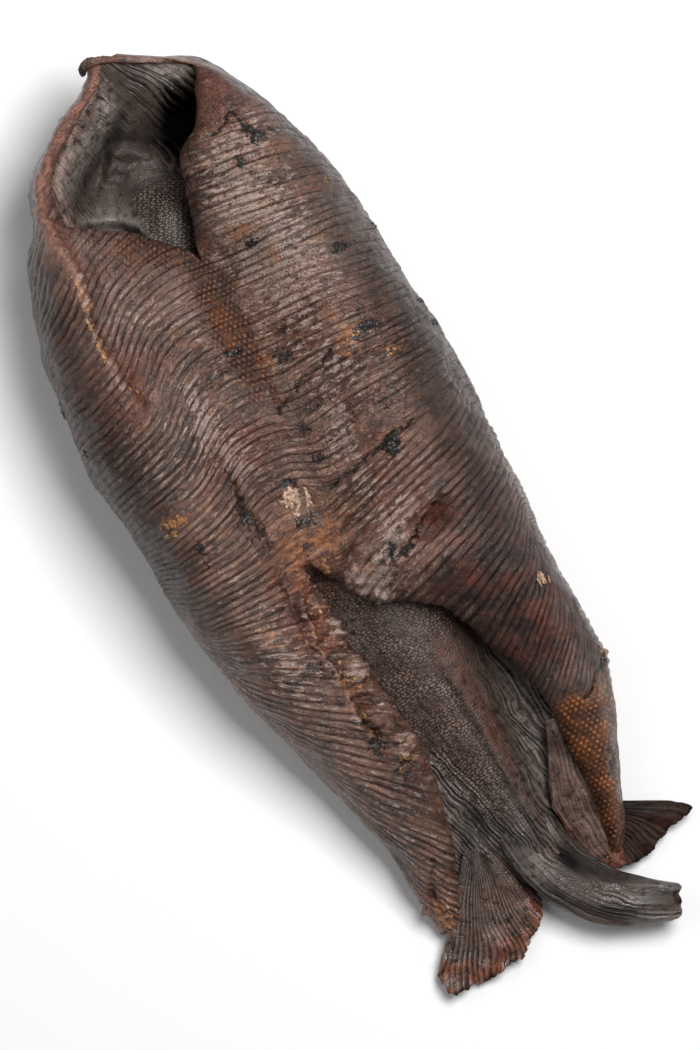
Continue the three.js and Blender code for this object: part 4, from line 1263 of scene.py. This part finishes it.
# Torn flesh
# Where a scab broke off the ridge between the wings it took the skin along: pale dry flakes of flesh, which
# lie across the ridge, and a fleck of fat on the right wing.
FLESH_PLACES = [(-5.5, 189.5, 1.6, 1.6, 18, 1.4), (-1.5, 190, 1.8, 2.2, 26, 1.2), (1.5, 192, 1, 2, 8, 1),
                (-3, 195.5, 2.6, 1.4, 14, 0.6), (73, 258, 1.2, 2.2, 18, 1)]
torn_flesh = crumbs("torn_flesh", FLESH_PLACES, form=(1.9, 0.5, 0.3), lie=4, seed=8)
put_on(torn_flesh, crumb_finish("dry_flesh", dark=(84, 50, 36), light=(208, 176, 148), roughness=0.5))

# Amber drops
# Fat that the heat drove out, set into small amber drops: on the fold and the flank of the left wing, at the
# rear opening, along the torn left margin, and in a few places on the right wing.
AMBER_PLACES = [(-47, 80, 0.6, 4, 7, 0.6), (-48.5, 92, 0.7, 8, 10, 0.7), (-49, 106, 0.8, 8, 9, 0.7),
                (-44, 124, 3, 6, 6, 0.5), (-50, 179, 4, 1.2, 22, 0.8), (-53, 183, 2, 0.9, 8, 0.7),
                (-3, 221, 1.2, 3, 12, 0.8), (-6, 303, 4, 3, 12, 0.7), (46, 141, 3.4, 0.8, 10, 0.5),
                (-12, 270, 3, 16, 16, 0.6), (-15, 240, 2, 10, 8, 0.6), (85, 296, 1.4, 2.4, 18, 0.9),
                (-18, 373, 6, 3, 16, 0.6), (57, 80, 3, 2, 6, 0.4), (20, 86, 3, 2, 6, 0.4),
                (55, 152, 3, 1.5, 8, 0.4)]
amber_drops = crumbs("amber_drops", AMBER_PLACES, form=(1.4, 0.8, 0.2), lie=0, seed=9)
put_on(amber_drops, crumb_finish("set_fat", dark=(84, 50, 31), light=(184, 138, 84), roughness=0.35))

# Floor, light and camera
# A plain white sweep, one large soft light above the ray and a weak fill, seen from straight above through a
# long lens, as in the picture.
PHOTO_TURN = math.radians(24)  # how far the ray lies turned in the picture
PHOTO_CENTRE = (12.4, 208.2)  # across and station at the middle of the picture
PHOTO_TALL = 0.42  # metres of the ray's own level that the picture's height takes in
LEVEL = 0.045  # height of the ray's own level
CAMERA_AWAY = 2.4
SENSOR = 36
FLOOR_SIZE = 6
FLOOR_WHITE = (0.86, 0.86, 0.86, 1)
ROOM_LIGHT = 0.17
bpy.ops.object.select_all(action="DESELECT")
bpy.ops.mesh.primitive_plane_add(size=FLOOR_SIZE, location=(0, 0, 0))
table = bpy.context.object
table.name = "floor"
floor_finish, _, shader = finish_material("floor_white")
shader.inputs["Base Color"].default_value = FLOOR_WHITE
shader.inputs["Roughness"].default_value = 0.9
table.data.materials.append(floor_finish)

aim = ((PHOTO_CENTRE[0] - MIDDLE_ACROSS) * MM, (MIDDLE_STATION - PHOTO_CENTRE[1]) * MM, LEVEL)
bpy.ops.object.camera_add(location=(aim[0], aim[1], LEVEL + CAMERA_AWAY), rotation=(0, 0, -PHOTO_TURN))
camera = bpy.context.object
camera.data.sensor_width = SENSOR
camera.data.lens = SENSOR * CAMERA_AWAY / PHOTO_TALL
bpy.context.scene.camera = camera


def soft_light(name, to_right, to_top, height, size, power):
    """A square lamp placed by the picture's right and top, and turned towards the ray."""
    x = aim[0] + to_right * math.cos(PHOTO_TURN) + to_top * math.sin(PHOTO_TURN)
    y = aim[1] - to_right * math.sin(PHOTO_TURN) + to_top * math.cos(PHOTO_TURN)
    lean = math.atan2(math.hypot(to_right, to_top), height)
    heading = math.atan2(y - aim[1], x - aim[0]) + math.pi / 2
    bpy.ops.object.light_add(type="AREA", location=(x, y, height), rotation=(lean, 0, heading))
    lamp = bpy.context.object
    lamp.name = name
    lamp.data.shape = "SQUARE"
    lamp.data.size = size
    lamp.data.energy = power


soft_light("key", to_right=0.35, to_top=0.35, height=1.4, size=0.55, power=24)
soft_light("fill", to_right=-0.8, to_top=0.2, height=1.4, size=1.0, power=4.2)
world = bpy.data.worlds.new("studio")
world.use_nodes = True
world.node_tree.nodes["Background"].inputs["Color"].default_value = (1, 1, 1, 1)
world.node_tree.nodes["Background"].inputs["Strength"].default_value = ROOM_LIGHT
bpy.context.scene.world = world
bpy.context.scene.view_settings.view_transform = "Standard"
